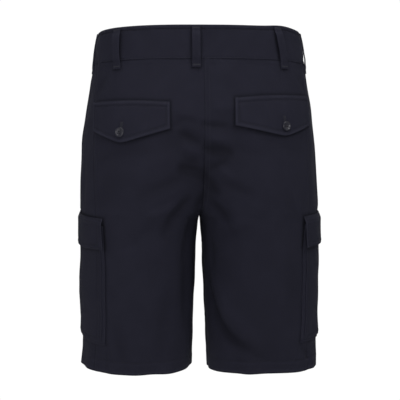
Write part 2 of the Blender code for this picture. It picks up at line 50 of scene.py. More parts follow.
LEFT, RIGHT = 1, -1
BACK, FRONT = 1, -1
SIDES = {LEFT: "left", RIGHT: "right"}
CLOTH = 0.0016
SEAM_GAP = 0.0003
HALF_GAP = -0.0004  # sewn edges run into each other this far
SEWN_PAST = 0.0012  # and past the centre line this far, so that no light comes through the seam
WAIST_TOP, WAIST_SEAM, CROTCH = 0.0265, -0.025, -0.2585
HEM = {LEFT: -0.5010, RIGHT: -0.5030}
HEM_TURN_UP = 0.0205
HEM_WALL = 0.0030

# Level sections of the skin: quarter curves about `centre` that reach `outer` at the side and `inner` at the
# inseam, `front` and `back` deep, the more square the higher their powers. They rise by `lean` towards the
# back, and the seat seam sinks in by `dip`.
SECTION_COLUMNS = ("level", "outer", "centre", "inner", "front", "back", "front_power", "back_power",
                   "lean", "dip")
SECTIONS = np.array([
    (0.045, 0.1520, 0.0000, -0.1520, 0.108, 0.102, 2.3, 2.7, 0.115, 0.0000),
    (0.025, 0.1588, 0.0000, -0.1588, 0.112, 0.107, 2.3, 2.7, 0.115, 0.0000),
    (0.000, 0.1638, 0.0000, -0.1638, 0.115, 0.110, 2.3, 2.7, 0.115, 0.0000),
    (-0.025, 0.1672, 0.0020, -0.1672, 0.118, 0.114, 2.3, 2.7, 0.112, 0.0000),
    (-0.060, 0.1732, 0.0100, -0.1732, 0.121, 0.122, 2.3, 2.6, 0.095, 0.0000),
    (-0.102, 0.1797, 0.0240, -0.1725, 0.124, 0.131, 2.3, 2.5, 0.060, 0.0006),
    (-0.127, 0.1832, 0.0340, -0.1465, 0.126, 0.135, 2.3, 2.4, 0.040, 0.0024),
    (-0.152, 0.1855, 0.0450, -0.1175, 0.127, 0.137, 2.3, 2.4, 0.022, 0.0042),
    (-0.182, 0.1876, 0.0580, -0.0856, 0.126, 0.137, 2.3, 2.4, 0.008, 0.0050),
    (-0.210, 0.1895, 0.0695, -0.0545, 0.123, 0.134, 2.3, 2.4, 0.000, 0.0044),
    (-0.230, 0.1903, 0.0770, -0.0313, 0.120, 0.131, 2.3, 2.4, 0.000, 0.0032),
    (-0.245, 0.1906, 0.0815, -0.0118, 0.118, 0.129, 2.3, 2.4, 0.000, 0.0018),
    (-0.253, 0.1906, 0.0840, -0.0040, 0.116, 0.127, 2.3, 2.4, 0.000, 0.0006),
    (-0.2585, 0.1905, 0.0855, 0.0004, 0.115, 0.126, 2.3, 2.4, 0.000, 0.0000),
    (-0.270, 0.1903, 0.0880, 0.0029, 0.113, 0.124, 2.3, 2.4, 0.000, 0.0000),
    (-0.302, 0.1892, 0.0925, 0.0050, 0.108, 0.119, 2.4, 2.4, 0.000, 0.0000),
    (-0.334, 0.1885, 0.0955, 0.0062, 0.103, 0.114, 2.4, 2.4, 0.000, 0.0000),
    (-0.398, 0.1885, 0.0990, 0.0089, 0.095, 0.105, 2.5, 2.5, 0.000, 0.0000),
    (-0.462, 0.1905, 0.1018, 0.0117, 0.087, 0.096, 2.5, 2.6, 0.000, 0.0000),
    (-0.510, 0.1920, 0.1037, 0.0140, 0.083, 0.090, 2.5, 2.6, 0.000, 0.0000),
])
DIP_WIDTH = 0.022


def smooth(at, xs, ys):
    """A curve through the points (xs, ys), xs rising, that never swings past them: a cubic between each two.
    Its slope at a point is the harmonic mean of those on either side, and level where they differ in sign."""
    steps = np.diff(xs)
    slopes = np.diff(ys) / steps
    tangents = np.zeros(len(xs))
    same_way = slopes[1:] * slopes[:-1] > 0
    tangents[1:-1][same_way] = (2 * slopes[1:] * slopes[:-1] / (slopes[1:] + slopes[:-1] + 1e-30))[same_way]
    tangents[0], tangents[-1] = slopes[0], slopes[-1]
    at = np.clip(at, xs[0], xs[-1])
    k = np.clip(np.searchsorted(xs, at, side="right") - 1, 0, len(steps) - 1)
    t = (at - xs[k]) / steps[k]
    return (
        ys[k] * (1 + 2 * t) * (1 - t) ** 2
        + ys[k + 1] * t**2 * (3 - 2 * t)
        + steps[k] * (tangents[k] * t * (1 - t) ** 2 - tangents[k + 1] * t**2 * (1 - t))
    )


def curve(points, at):
    """A smooth curve through (where, value) points, read at `at`."""
    where, value = np.array(sorted(points)).T
    return smooth(np.asarray(at, float), where, value)


def bell(distance, width):
    """1 in the middle, and a third at `width` from it: exp(-(distance/width)²)."""
    return np.exp(-((distance / width) ** 2))


def least(first, *others):
    """The smallest of several distances, place by place."""
    for other in others:
        first = np.minimum(first, other)
    return first


def greatest(first, *others):
    """The largest of several distances, place by place."""
    for other in others:
        first = np.maximum(first, other)
    return first


def ease(at, start, end):
    """0 before `start`, 1 after `end`, and the S curve 3t² - 2t³ between; the ends may be in either order."""
    share = np.clip((np.asarray(at, float) - start) / (end - start), 0, 1)
    return share**2 * (3 - 2 * share)


RING_SAMPLES = 721


def ring(level, face):
    """Section outlines, a row for each level, from the side of the leg through the back (or front) to its
    inner side: x = centre + reach·|cos|^(2/power), y = depth·|sin|^(2/power), less the dip at the seat seam.
    Returns x, y and the distance along."""
    rising = SECTIONS[::-1]
    sizes = {name: smooth(level, rising[:, 0], rising[:, k])[:, None]
             for k, name in enumerate(SECTION_COLUMNS)}
    word = "back" if face == BACK else "front"
    depth, power = sizes[word], sizes[f"{word}_power"]
    turn = np.linspace(0, np.pi, RING_SAMPLES)[None, :]
    cosine, sine = np.cos(turn), np.sin(turn)
    reach = np.where(cosine > 0, sizes["outer"] - sizes["centre"], sizes["inner"] - sizes["centre"])
    x = sizes["centre"] + reach * np.abs(cosine) ** (2 / power)
    y = face * depth * np.abs(sine) ** (2 / power)
    if face == BACK:
        y -= sizes["dip"] * bell(x, DIP_WIDTH)
    pieces = np.hypot(np.diff(x, axis=1), np.diff(y, axis=1))
    along = np.concatenate([np.zeros((len(level), 1)), np.cumsum(pieces, axis=1)], axis=1)
    return x, y, along, sizes["lean"]


# The skin is read from a fine grid of places, finest at the crotch, where the sections change fast.
SKIN_STEP = 0.001
SKIN_LEVELS = np.unique(np.round(np.concatenate([
    np.arange(-0.510, 0.0451, SKIN_STEP),
    np.arange(-0.268, -0.240, SKIN_STEP / 4),
]), 6))
SKIN_ALONG = np.arange(-0.345, 0.3451, SKIN_STEP)


def measure_skin():
    """The left half's points and outward normals over the grid (cross product of its two slopes), and how far
    along each section its back and front end: at the centre line on the trunk, at the inseam on the leg. The
    second ends are those of the cloth, which runs a little past the centre line."""
    back_x, back_y, back_run, lean = ring(SKIN_LEVELS, BACK)
    front_x, front_y, front_run, _ = ring(SKIN_LEVELS, FRONT)
    back_whole, front_whole = back_run[:, -1:], front_run[:, -1:]
    # Twice round, so that a place past the inseam lies on the other face.
    run = np.concatenate([back_run - back_whole - front_whole, -front_run[:, ::-1], back_run,
                          back_whole + front_whole - front_run[:, ::-1]], axis=1)
    x = np.concatenate([back_x, front_x[:, ::-1], back_x, front_x[:, ::-1]], axis=1)
    y = np.concatenate([back_y, front_y[:, ::-1], back_y, front_y[:, ::-1]], axis=1)
    points = np.zeros((len(SKIN_LEVELS), len(SKIN_ALONG), 3))
    for k in range(len(SKIN_LEVELS)):
        points[k, :, 0] = np.interp(SKIN_ALONG, run[k], x[k])
        points[k, :, 1] = np.interp(SKIN_ALONG, run[k], y[k])
    points[..., 2] = SKIN_LEVELS[:, None] + lean * points[..., 1]
    normals = np.cross(np.gradient(points, SKIN_STEP, axis=1), np.gradient(points, SKIN_LEVELS, axis=0))
    normals /= np.linalg.norm(normals, axis=2, keepdims=True)
    ends = {}
    rows = np.arange(len(SKIN_LEVELS))
    for face, face_x, face_run in ((BACK, back_x, back_run), (FRONT, front_x, front_run)):
        for past in (0, SEWN_PAST):
            beyond = face_x + past
            last = (beyond >= 0).sum(axis=1) - 1
            after = np.minimum(last + 1, RING_SAMPLES - 1)
            step = beyond[rows, last] - beyond[rows, after]
            share = np.where(step > 0, beyond[rows, last] / np.where(step > 0, step, 1), 0)
            ends[face, past] = face_run[rows, last] + share * (face_run[rows, after] - face_run[rows, last])
    return np.concatenate([points, normals], axis=2), ends


SKIN, SKIN_ENDS = measure_skin()


def edge(level, face, past=0):
    """How far along its section a face ends, or its cloth where `past` is SEWN_PAST."""
    return np.interp(level, SKIN_LEVELS, SKIN_ENDS[face, past])


def to_inner_end(along, level):
    """The distance from a place to where its section ends, at the centre line or the inseam."""
    return np.where(along >= 0, edge(level, BACK), edge(level, FRONT)) - np.abs(along)


# A fold runs from its upper to its lower end, bowed sideways in the middle by `bow`. `rise` is its height
# where it is highest, negative in a trough, which is at the share `peak` of its length. It falls to a third
# at `half_width`.
FOLD_COLUMNS = ("side", "along_top", "level_top", "along_low", "level_low", "half_width", "rise", "bow",
                "peak")
FOLDS = (
    # the back of the left leg
    (LEFT, 0.232, -0.104, 0.214, -0.200, 0.020, -0.0030, 0.004, 0.33),
    (LEFT, 0.262, -0.218, 0.205, -0.285, 0.0095, -0.0062, 0.003, 0.42),
    (LEFT, 0.240, -0.232, 0.170, -0.262, 0.008, 0.0024, 0.003, 0.40),
    (LEFT, 0.234, -0.112, 0.205, -0.119, 0.005, -0.0014, 0.000, 0.40),
    (LEFT, 0.250, -0.190, 0.168, -0.226, 0.010, -0.0030, 0.004, 0.35),
    (LEFT, 0.232, -0.158, 0.150, -0.192, 0.011, 0.0017, 0.004, 0.40),
    (LEFT, 0.282, -0.245, 0.240, -0.345, 0.010, -0.0036, 0.006, 0.45),
    (LEFT, 0.262, -0.290, 0.242, -0.440, 0.013, -0.0044, 0.004, 0.55),
    (LEFT, 0.205, -0.258, 0.140, -0.312, 0.009, -0.0018, 0.004, 0.45),
    (LEFT, 0.160, -0.225, 0.150, -0.462, 0.034, 0.0046, 0.000, 0.50),
    (LEFT, 0.222, -0.345, 0.186, -0.485, 0.012, -0.0022, 0.006, 0.55),
    (LEFT, 0.118, -0.395, 0.130, -0.500, 0.009, -0.0021, -0.003, 0.60),
    (LEFT, 0.104, -0.455, 0.097, -0.508, 0.005, -0.0014, 0.000, 0.50),
    (LEFT, 0.090, -0.042, 0.066, -0.086, 0.0065, -0.0021, 0.002, 0.50),
    (LEFT, 0.195, -0.148, 0.094, -0.172, 0.012, -0.0020, 0.003, 0.45),
    (LEFT, 0.150, -0.176, 0.112, -0.250, 0.016, -0.0022, 0.005, 0.50),
    (LEFT, 0.236, -0.028, 0.226, -0.062, 0.006, -0.0010, 0.000, 0.30),
    (LEFT, 0.174, -0.028, 0.184, -0.074, 0.010, 0.0009, 0.000, 0.40),
    (LEFT, 0.152, -0.028, 0.158, -0.060, 0.005, -0.0009, 0.000, 0.35),
    (LEFT, 0.035, -0.246, 0.030, -0.360, 0.050, -0.0040, 0.000, 0.30),
    (LEFT, 0.040, -0.385, 0.035, -0.512, 0.050, -0.0036, 0.000, 0.50),
    # the back of the right leg
    (RIGHT, 0.230, -0.096, 0.222, -0.200, 0.020, -0.0034, -0.003, 0.35),
    (RIGHT, 0.290, -0.330, 0.182, -0.466, 0.0085, -0.0064, -0.018, 0.52),
    (RIGHT, 0.264, -0.332, 0.158, -0.452, 0.011, 0.0036, -0.015, 0.50),
    (RIGHT, 0.240, -0.425, 0.140, -0.484, 0.009, -0.0030, -0.005, 0.40),
    (RIGHT, 0.226, -0.148, 0.170, -0.160, 0.008, -0.0012, 0.000, 0.35),
    (RIGHT, 0.280, -0.222, 0.222, -0.282, 0.009, -0.0056, 0.004, 0.38),
    (RIGHT, 0.254, -0.196, 0.190, -0.226, 0.009, -0.0028, 0.003, 0.35),
    (RIGHT, 0.276, -0.268, 0.186, -0.262, 0.009, 0.0030, 0.005, 0.45),
    (RIGHT, 0.284, -0.280, 0.262, -0.345, 0.009, -0.0030, 0.003, 0.50),
    (RIGHT, 0.200, -0.190, 0.158, -0.330, 0.024, 0.0020, 0.004, 0.45),
    (RIGHT, 0.158, -0.210, 0.128, -0.262, 0.010, -0.0016, 0.002, 0.50),
    (RIGHT, 0.132, -0.300, 0.114, -0.430, 0.014, -0.0024, 0.004, 0.50),
    (RIGHT, 0.072, -0.462, 0.058, -0.520, 0.008, 0.0030, 0.000, 0.50),
    (RIGHT, 0.098, -0.455, 0.066, -0.492, 0.005, -0.0022, 0.000, 0.40),
    (RIGHT, 0.204, -0.462, 0.188, -0.520, 0.010, -0.0017, 0.000, 0.50),
    (RIGHT, 0.086, -0.040, 0.066, -0.078, 0.007, -0.0015, 0.002, 0.50),
    (RIGHT, 0.185, -0.138, 0.100, -0.158, 0.011, -0.0018, 0.002, 0.45),
    (RIGHT, 0.242, -0.028, 0.234, -0.058, 0.006, -0.0010, 0.000, 0.35),
    (RIGHT, 0.206, -0.028, 0.212, -0.066, 0.008, 0.0008, 0.000, 0.40),
    (RIGHT, 0.035, -0.240, 0.030, -0.340, 0.050, -0.0012, 0.000, 0.40),
    (RIGHT, 0.040, -0.440, 0.036, -0.530, 0.045, -0.0008, 0.000, 0.50),
    (RIGHT, 0.215, -0.365, 0.115, -0.530, 0.036, -0.0042, 0.000, 0.50),
    # the front of the left leg
    (LEFT, -0.262, -0.226, -0.196, -0.288, 0.012, -0.0044, -0.004, 0.38),
    (LEFT, -0.244, -0.172, -0.150, -0.218, 0.011, -0.0040, -0.004, 0.35),
    (LEFT, -0.250, -0.205, -0.166, -0.254, 0.009, -0.0028, -0.003, 0.35),
    (LEFT, -0.236, -0.190, -0.176, -0.226, 0.008, 0.0018, -0.003, 0.40),
    (LEFT, -0.242, -0.142, -0.186, -0.166, 0.008, -0.0020, -0.002, 0.40),
    (LEFT, -0.232, -0.325, -0.188, -0.475, 0.012, -0.0046, -0.006, 0.50),
    (LEFT, -0.258, -0.265, -0.238, -0.335, 0.009, -0.0028, -0.003, 0.50),
    (LEFT, -0.150, -0.060, -0.165, -0.170, 0.022, 0.0014, 0.000, 0.50),
    (LEFT, -0.142, -0.280, -0.135, -0.470, 0.028, 0.0036, 0.000, 0.50),
    (LEFT, -0.168, -0.375, -0.150, -0.505, 0.010, -0.0022, -0.003, 0.55),
    (LEFT, -0.085, -0.200, -0.118, -0.295, 0.013, -0.0020, -0.004, 0.50),
    (LEFT, -0.120, -0.100, -0.190, -0.128, 0.010, -0.0013, -0.002, 0.50),
    (LEFT, -0.205, -0.028, -0.192, -0.062, 0.007, -0.0010, 0.000, 0.35),
    (LEFT, -0.176, -0.028, -0.170, -0.055, 0.006, 0.0007, 0.000, 0.35),
    # the front of the right leg
    (RIGHT, -0.256, -0.224, -0.186, -0.278, 0.012, -0.0046, -0.004, 0.38),
    (RIGHT, -0.240, -0.168, -0.142, -0.226, 0.011, -0.0042, -0.005, 0.38),
    (RIGHT, -0.252, -0.196, -0.196, -0.226, 0.007, -0.0024, -0.002, 0.40),
    (RIGHT, -0.236, -0.206, -0.170, -0.246, 0.008, 0.0018, -0.003, 0.40),
    (RIGHT, -0.242, -0.132, -0.200, -0.152, 0.007, -0.0017, -0.002, 0.40),
    (RIGHT, -0.247, -0.318, -0.198, -0.465, 0.011, -0.0048, -0.007, 0.50),
    (RIGHT, -0.228, -0.268, -0.176, -0.335, 0.010, -0.0024, -0.004, 0.45),
    (RIGHT, -0.135, -0.070, -0.150, -0.150, 0.020, 0.0013, 0.000, 0.50),
    (RIGHT, -0.132, -0.290, -0.120, -0.480, 0.026, 0.0032, 0.000, 0.50),
    (RIGHT, -0.172, -0.395, -0.160, -0.512, 0.009, -0.0020, 0.003, 0.50),
    (RIGHT, -0.095, -0.190, -0.112, -0.275, 0.012, -0.0019, -0.003, 0.50),
    (RIGHT, -0.110, -0.110, -0.178, -0.118, 0.009, -0.0011, 0.002, 0.50),
    (RIGHT, -0.196, -0.028, -0.186, -0.068, 0.006, -0.0011, 0.000, 0.35),
    # over the hips
    (LEFT, 0.020, -0.060, 0.004, -0.225, 0.016, 0.0016, 0.004, 0.50),
    (LEFT, -0.030, -0.075, -0.018, -0.240, 0.011, -0.0020, 0.003, 0.60),
    (LEFT, 0.055, -0.150, 0.060, -0.246, 0.009, -0.0019, 0.002, 0.55),
    (RIGHT, 0.015, -0.070, 0.008, -0.236, 0.014, -0.0020, 0.004, 0.60),
    (RIGHT, -0.045, -0.075, -0.038, -0.232, 0.016, 0.0017, 0.003, 0.50),
    (RIGHT, 0.062, -0.135, 0.070, -0.240, 0.009, -0.0017, 0.002, 0.50),
)
# Creases that cross the centre seams. Their first number is the face, and they have the distance from the
# seam, + on the left, in place of that along.
CROSSING_FOLDS = (
    (BACK, 0.024, -0.112, -0.006, -0.232, 0.032, -0.0018, 0.000, 0.50),
    (BACK, 0.007, -0.1160, -0.043, -0.1185, 0.0040, -0.0024, 0.000, 0.35),
    (BACK, 0.046, -0.106, 0.008, -0.114, 0.0050, -0.0012, 0.000, 0.50),
    (BACK, 0.042, -0.126, 0.000, -0.146, 0.0065, -0.0030, 0.002, 0.45),
    (BACK, 0.040, -0.146, -0.010, -0.162, 0.0060, 0.0016, 0.002, 0.45),
    (BACK, -0.050, -0.136, 0.006, -0.132, 0.0070, 0.0016, 0.000, 0.50),
    (BACK, -0.048, -0.158, 0.008, -0.149, 0.0085, -0.0052, -0.002, 0.50),
    (BACK, -0.040, -0.164, 0.002, -0.182, 0.0070, -0.0030, 0.000, 0.45),
    (BACK, 0.046, -0.176, -0.004, -0.190, 0.0085, -0.0050, 0.003, 0.45),
    (BACK, 0.032, -0.164, 0.004, -0.166, 0.0050, -0.0016, 0.000, 0.50),
    (BACK, 0.008, -0.178, -0.030, -0.220, 0.0080, -0.0046, -0.003, 0.50),
    (BACK, -0.014, -0.170, -0.052, -0.196, 0.0060, 0.0014, 0.000, 0.45),
    (BACK, -0.006, -0.206, 0.022, -0.248, 0.0070, -0.0034, 0.002, 0.50),
    (FRONT, 0.030, -0.176, -0.034, -0.184, 0.0070, -0.0024, 0.002, 0.45),
    (FRONT, -0.026, -0.196, 0.030, -0.206, 0.0070, -0.0030, -0.002, 0.50),
    (FRONT, 0.022, -0.214, -0.020, -0.232, 0.0065, -0.0024, 0.000, 0.50),
)
FOLD_FADE = 0.010  # folds die out this far from the seams between the two sides
SEAM_HELD = 0.012  # and move the cloth only back and forth nearer than this
CROTCH_FADE = 0.012  # what happens at the seat seam and the front seam begins this far above the crotch
SLACK = 0.00035  # how far the cloth wanders between the folds
HEM_RIPPLE, HEM_RIPPLE_REACH = 0.0010, 0.045


def fold_height(row, along, level):
    """One fold's height: across it a bell, exp(-(c/width)²), whose middle line is a parabola; along it an
    arch, sin(pi·share^k), with k such that it peaks at `peak`."""
    fold = dict(zip(FOLD_COLUMNS, row))
    run = np.array((fold["along_low"] - fold["along_top"], fold["level_low"] - fold["level_top"]))
    length = np.hypot(*run)
    way = run / length
    from_top_along, from_top_level = along - fold["along_top"], level - fold["level_top"]
    share = np.clip((from_top_along * way[0] + from_top_level * way[1]) / length, 0, 1)
    across = from_top_along * way[1] - from_top_level * way[0]
    across = across - 4 * fold["bow"] * share * (1 - share)
    arch = np.sin(np.pi * share ** (np.log(0.5) / np.log(fold["peak"])))
    return fold["rise"] * arch * bell(across, fold["half_width"])


def crossing_folds(side, along, level):
    """The height of the folds that cross the centre seams; they end above the crotch."""
    from_end = to_inner_end(along, level)
    height = sum(fold_height(row, side * from_end, level) * (np.sign(along) == row[0])
                 for row in CROSSING_FOLDS)
    return height * ease(level, CROTCH, CROTCH + CROTCH_FADE)


def folds(side, along, level):
    """How far the folds move the skin out. To their sum come two slow waves of unlike lengths and a ripple
    that grows towards the hem. Near the seams only the folds that cross them are left."""
    height = sum(fold_height(row, along, level) for row in FOLDS if row[0] == side)
    slow, slower = np.sin(along / 0.0093 + level / 0.021 + side), np.sin(level / 0.0127 - along / 0.030)
    height = height + SLACK * slow * slower
    height += SLACK * np.sin(along / 0.0157 - level / 0.0119 + 2 * side) * (level < WAIST_SEAM)
    above_hem = level - HEM[side]
    ripple = np.sin(along / 0.0112 + 1.7 * side) + 0.6 * np.sin(along / 0.0071 - side)
    height += HEM_RIPPLE * ripple * bell(above_hem, HEM_RIPPLE_REACH)
    from_end = to_inner_end(along, level)
    height *= ease(from_end, 0, FOLD_FADE) * (0.25 + 0.75 * ease(level, 0.010, -0.030))
    return height + crossing_folds(side, along, level)


# Painted crease shading: colour per metre of fold height, with its darkest shade and brightest highlight;
# folds wider than SHARP_FOLD count for less.
SHARP_FOLD = 0.012
CREASE_SHADE_GAIN, DARKEST_CREASE_SHADE, BRIGHTEST_CREASE_HIGHLIGHT = 60, -0.40, 0.20
CROSSING_SHADE_GAIN = 1.6  # the painted shading is as many times as strong in the creases that cross a seam


def painted_crease_shading(side, along, level):
    """Painted shading from the folds: highlights painted on their ridges and shade painted in their troughs,
    in proportion to their height; the wider a fold, the less."""
    height = CROSSING_SHADE_GAIN * crossing_folds(side, along, level)
    for row in FOLDS:
        if row[0] == side:
            height = height + fold_height(row, along, level) * min(1, SHARP_FOLD / row[5])
    return np.clip(CREASE_SHADE_GAIN * height, DARKEST_CREASE_SHADE, BRIGHTEST_CREASE_HIGHLIGHT)


def sag(side, along, level):
    """How far the cloth stands above its level: at the outside of the left hem and on the right of the
    waistband; it hangs below it at the inside of the right hem."""
    reach = to_inner_end(along, level)
    if side == LEFT:
        return 0.0046 * bell(along - 0.050, 0.060) * ease(level, -0.400, HEM[LEFT])
    low = 0.0012 * bell(along - 0.060, 0.060) - 0.0058 * bell(reach, 0.060)
    high = 0.0026 * bell(along - 0.096, 0.026)
    return low * ease(level, -0.400, HEM[RIGHT]) + high * ease(level, -0.030, WAIST_TOP)


def place(side, along, level, height):
    """Points at heights over the skin, and its outward normals: the skin's grid is read between its nearest
    four places, and moved out along the normal by the height and the folds. At the centre seams the folds
    move it only back and forth, so that the two sides still meet."""
    along, level, height = (np.asarray(a, float) for a in np.broadcast_arrays(along, level, height))
    level = level + sag(side, along, level)
    column = np.clip((along - SKIN_ALONG[0]) / SKIN_STEP, 0, len(SKIN_ALONG) - 1.001)
    row = np.clip(np.interp(level, SKIN_LEVELS, np.arange(len(SKIN_LEVELS))), 0, len(SKIN_LEVELS) - 1.001)
    c, r = column.astype(int), row.astype(int)
    s, t = (column - c)[..., None], (row - r)[..., None]
    here = (1 - t) * ((1 - s) * SKIN[r, c] + s * SKIN[r, c + 1])
    here += t * ((1 - s) * SKIN[r + 1, c] + s * SKIN[r + 1, c + 1])
    points, normals = here[..., :3], here[..., 3:]
    normals = normals / np.linalg.norm(normals, axis=-1, keepdims=True)
    from_end = to_inner_end(along, level)
    held = bell(from_end, SEAM_HELD) * ease(level, CROTCH, CROTCH + CROTCH_FADE)
    way = normals * np.stack([1 - held, np.ones_like(held), np.ones_like(held)], axis=-1)
    points = points + normals * height[..., None] + way * folds(side, along, level)[..., None]
    mirror = np.array((side, 1, 1))
    return points * mirror, normals * mirror


def graded(start, end, step, finer=()):
    """Places from start to end, `step` apart, and closer about each (place, spacing, reach) of `finer`: the
    spacing grows with the square of the distance from it."""
    fine = np.linspace(start, end, 6000)
    spacing = np.full(len(fine), float(step))
    for middle, closest, reach in finer:
        away = np.clip(np.abs(fine - middle) / reach, 0, 1)
        spacing = np.minimum(spacing, closest + (step - closest) * away**2)
    count = np.concatenate([[0], np.cumsum(np.abs(np.diff(fine)) / spacing[1:])])
    return np.interp(np.linspace(0, count[-1], int(np.ceil(count[-1])) + 1), count, fine)


def both_ends(step, *finer):
    """Shares from 0 to 1, `step` apart, and closer about each (share, spacing, reach) at both ends alike."""
    return graded(0, 1, step, [(at, *rest) for share, *rest in finer for at in (share, 1 - share)])


def rounded(distance, radius):
    """How far a face of cloth draws back near its edge, a quarter circle: radius - sqrt(radius² - left²),
    where `left` is what the distance is short of the radius."""
    left = np.clip(radius - distance, 0, radius)
    return radius - np.sqrt(radius**2 - left**2)


def groove(distance, width, depth):
    """A narrow trough, -depth·exp(-(distance/width)²)."""
    return -depth * bell(distance, width)


def pucker(distance, run, reach, rise):
    """Small waves that a row of stitches draws up: along it two sines of unlike lengths beat, swelled and
    stilled by a slower third; across it they fade as exp(-(distance/reach)²)."""
    wave = np.sin(run / 0.00138) + 0.7 * np.sin(run / 0.00193 + 1.1)
    return rise * wave * (0.6 + 0.4 * np.sin(run / 0.0083)) * bell(distance, reach)


def outward(points, faces):
    """The faces turned so that the closed mesh holds a positive volume, a sixth of the sum of a·(b×c)."""
    a, b, c = points[faces[:, 0]], points[faces[:, 1]], points[faces[:, 2]]
    d = points[faces[:, 3]]
    volume = (a * (np.cross(b, c) + np.cross(c, d))).sum()
    return faces if volume > 0 else faces[:, ::-1]


def in_scene(name, data):
    """A new object in the scene, at the origin."""
    made = bpy.data.objects.new(name, data)
    bpy.context.scene.collection.objects.link(made)
    return made


def piece(name, points, faces, paint, uv=None, worn=None):
    """A smooth-shaded object at the origin that rides on the one body of the shorts."""
    mesh = bpy.data.meshes.new(name)
    mesh.from_pydata(points.tolist(), [], faces if isinstance(faces, list) else faces.tolist())
    mesh.polygons.foreach_set("use_smooth", np.ones(len(mesh.polygons), bool))
    if uv is not None:
        corners = np.empty(len(mesh.loops), int)
        mesh.loops.foreach_get("vertex_index", corners)
        mesh.uv_layers.new(name="cloth").data.foreach_set("uv", uv[corners].astype(np.float32).ravel())
    if worn is not None:
        values = mesh.attributes.new("worn", "FLOAT", "POINT").data
        values.foreach_set("value", worn.astype(np.float32).ravel())
    mesh.materials.append(paint)
    mesh.update()
    made = in_scene(name, mesh)
    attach(made, "root")
    return made


def cloth(name, side, along, level, inside, outside, worn, paint):
    """A piece of cloth as a closed wall over a grid of places: its outer face at the height `outside`, its
    inner face at `inside`, and a rim between. The UV map holds each place in metres."""
    rows, columns = along.shape
    inner, _ = place(side, along, level, np.broadcast_to(inside, along.shape))
    outer, _ = place(side, along, level, np.broadcast_to(outside, along.shape))
    points = np.concatenate([inner.reshape(-1, 3), outer.reshape(-1, 3)])
    count = rows * columns
    index = np.arange(count).reshape(rows, columns)
    sheet = np.stack([index[:-1, :-1], index[:-1, 1:], index[1:, 1:], index[1:, :-1]], axis=-1).reshape(-1, 4)
    rim = np.concatenate([index[0, :-1], index[:-1, -1], index[-1, :0:-1], index[:0:-1, 0]])
    after = np.roll(rim, -1)
    strip = np.stack([after, rim, rim + count, after + count], axis=-1)
    faces = outward(points, np.concatenate([sheet, sheet[:, ::-1] + count, strip]))
    uv = np.stack([along.ravel(), level.ravel()], axis=1)
    worn = np.broadcast_to(worn, along.shape).ravel()
    return piece(name, points, faces, paint, np.concatenate([uv, uv]), np.concatenate([worn, worn]))


# Cotton twill: fine slanting ribs, a faint nap, slubs in the yarn, cloth paler on its edges where it wears,
# and painted shade and highlights from a per-point attribute.

def new_group(name, inputs, outputs):
    """A shader node group with its sockets: inputs as (name, kind, value), outputs as (name, kind)."""
    group = bpy.data.node_groups.new(name, "ShaderNodeTree")
    for label, kind, value in inputs:
        group.interface.new_socket(label, in_out="INPUT", socket_type=kind).default_value = value
    for label, kind in outputs:
        group.interface.new_socket(label, in_out="OUTPUT", socket_type=kind)
    return group, group.nodes.new("NodeGroupInput"), group.nodes.new("NodeGroupOutput")


def node(tree, kind, values=(), **settings):
    """A node with its settings, and its inputs set or linked by their numbers or names."""
    made = tree.nodes.new(kind)
    for name, value in settings.items():
        setattr(made, name, value)
    for key, value in dict(values).items():
        if isinstance(value, bpy.types.NodeSocket):
            tree.links.new(value, made.inputs[key])
        else:
            made.inputs[key].default_value = value
    return made


def maths(tree, operation, *values):
    """The result of a Math node."""
    return node(tree, "ShaderNodeMath", enumerate(values), operation=operation).outputs[0]


def between_colours(tree, share, low, high):
    """The mix of two colours by a share, through the sockets that a Mix node keeps for colours."""
    return node(tree, "ShaderNodeMix", {0: share, 6: low, 7: high}, data_type="RGBA").outputs[2]


def clouds_in(tree, where, scale, detail, **more):
    """Noise of a scale and detail, from 0 to 1, at places of the cloth or the object."""
    values = {"Vector": where, "Scale": float(scale), "Detail": float(detail), **more}
    return node(tree, "ShaderNodeTexNoise", values).outputs[0]


def new_paint(name, constants):
    """A material, its node tree and its shader, whose own sockets take the constants."""
    paint = bpy.data.materials.new(name)
    paint.use_nodes = True
    shader = paint.node_tree.nodes["Principled BSDF"]
    for socket, value in constants.items():
        shader.inputs[socket].default_value = value
    return paint, paint.node_tree, shader


def clouded_paint(name, constants, colours, scale, detail, **more):
    """A paint whose colour drifts between two, by noise at the object's own places. Also its tree, its
    shader, those places and the noise."""
    paint, tree, shader = new_paint(name, constants)
    spot = node(tree, "ShaderNodeTexCoord").outputs["Object"]
    noise = clouds_in(tree, spot, scale, detail, **more)
    low, high = colours
    tree.links.new(between_colours(tree, noise, (*low, 1), (*high, 1)), shader.inputs["Base Color"])
    return paint, tree, shader, spot, noise


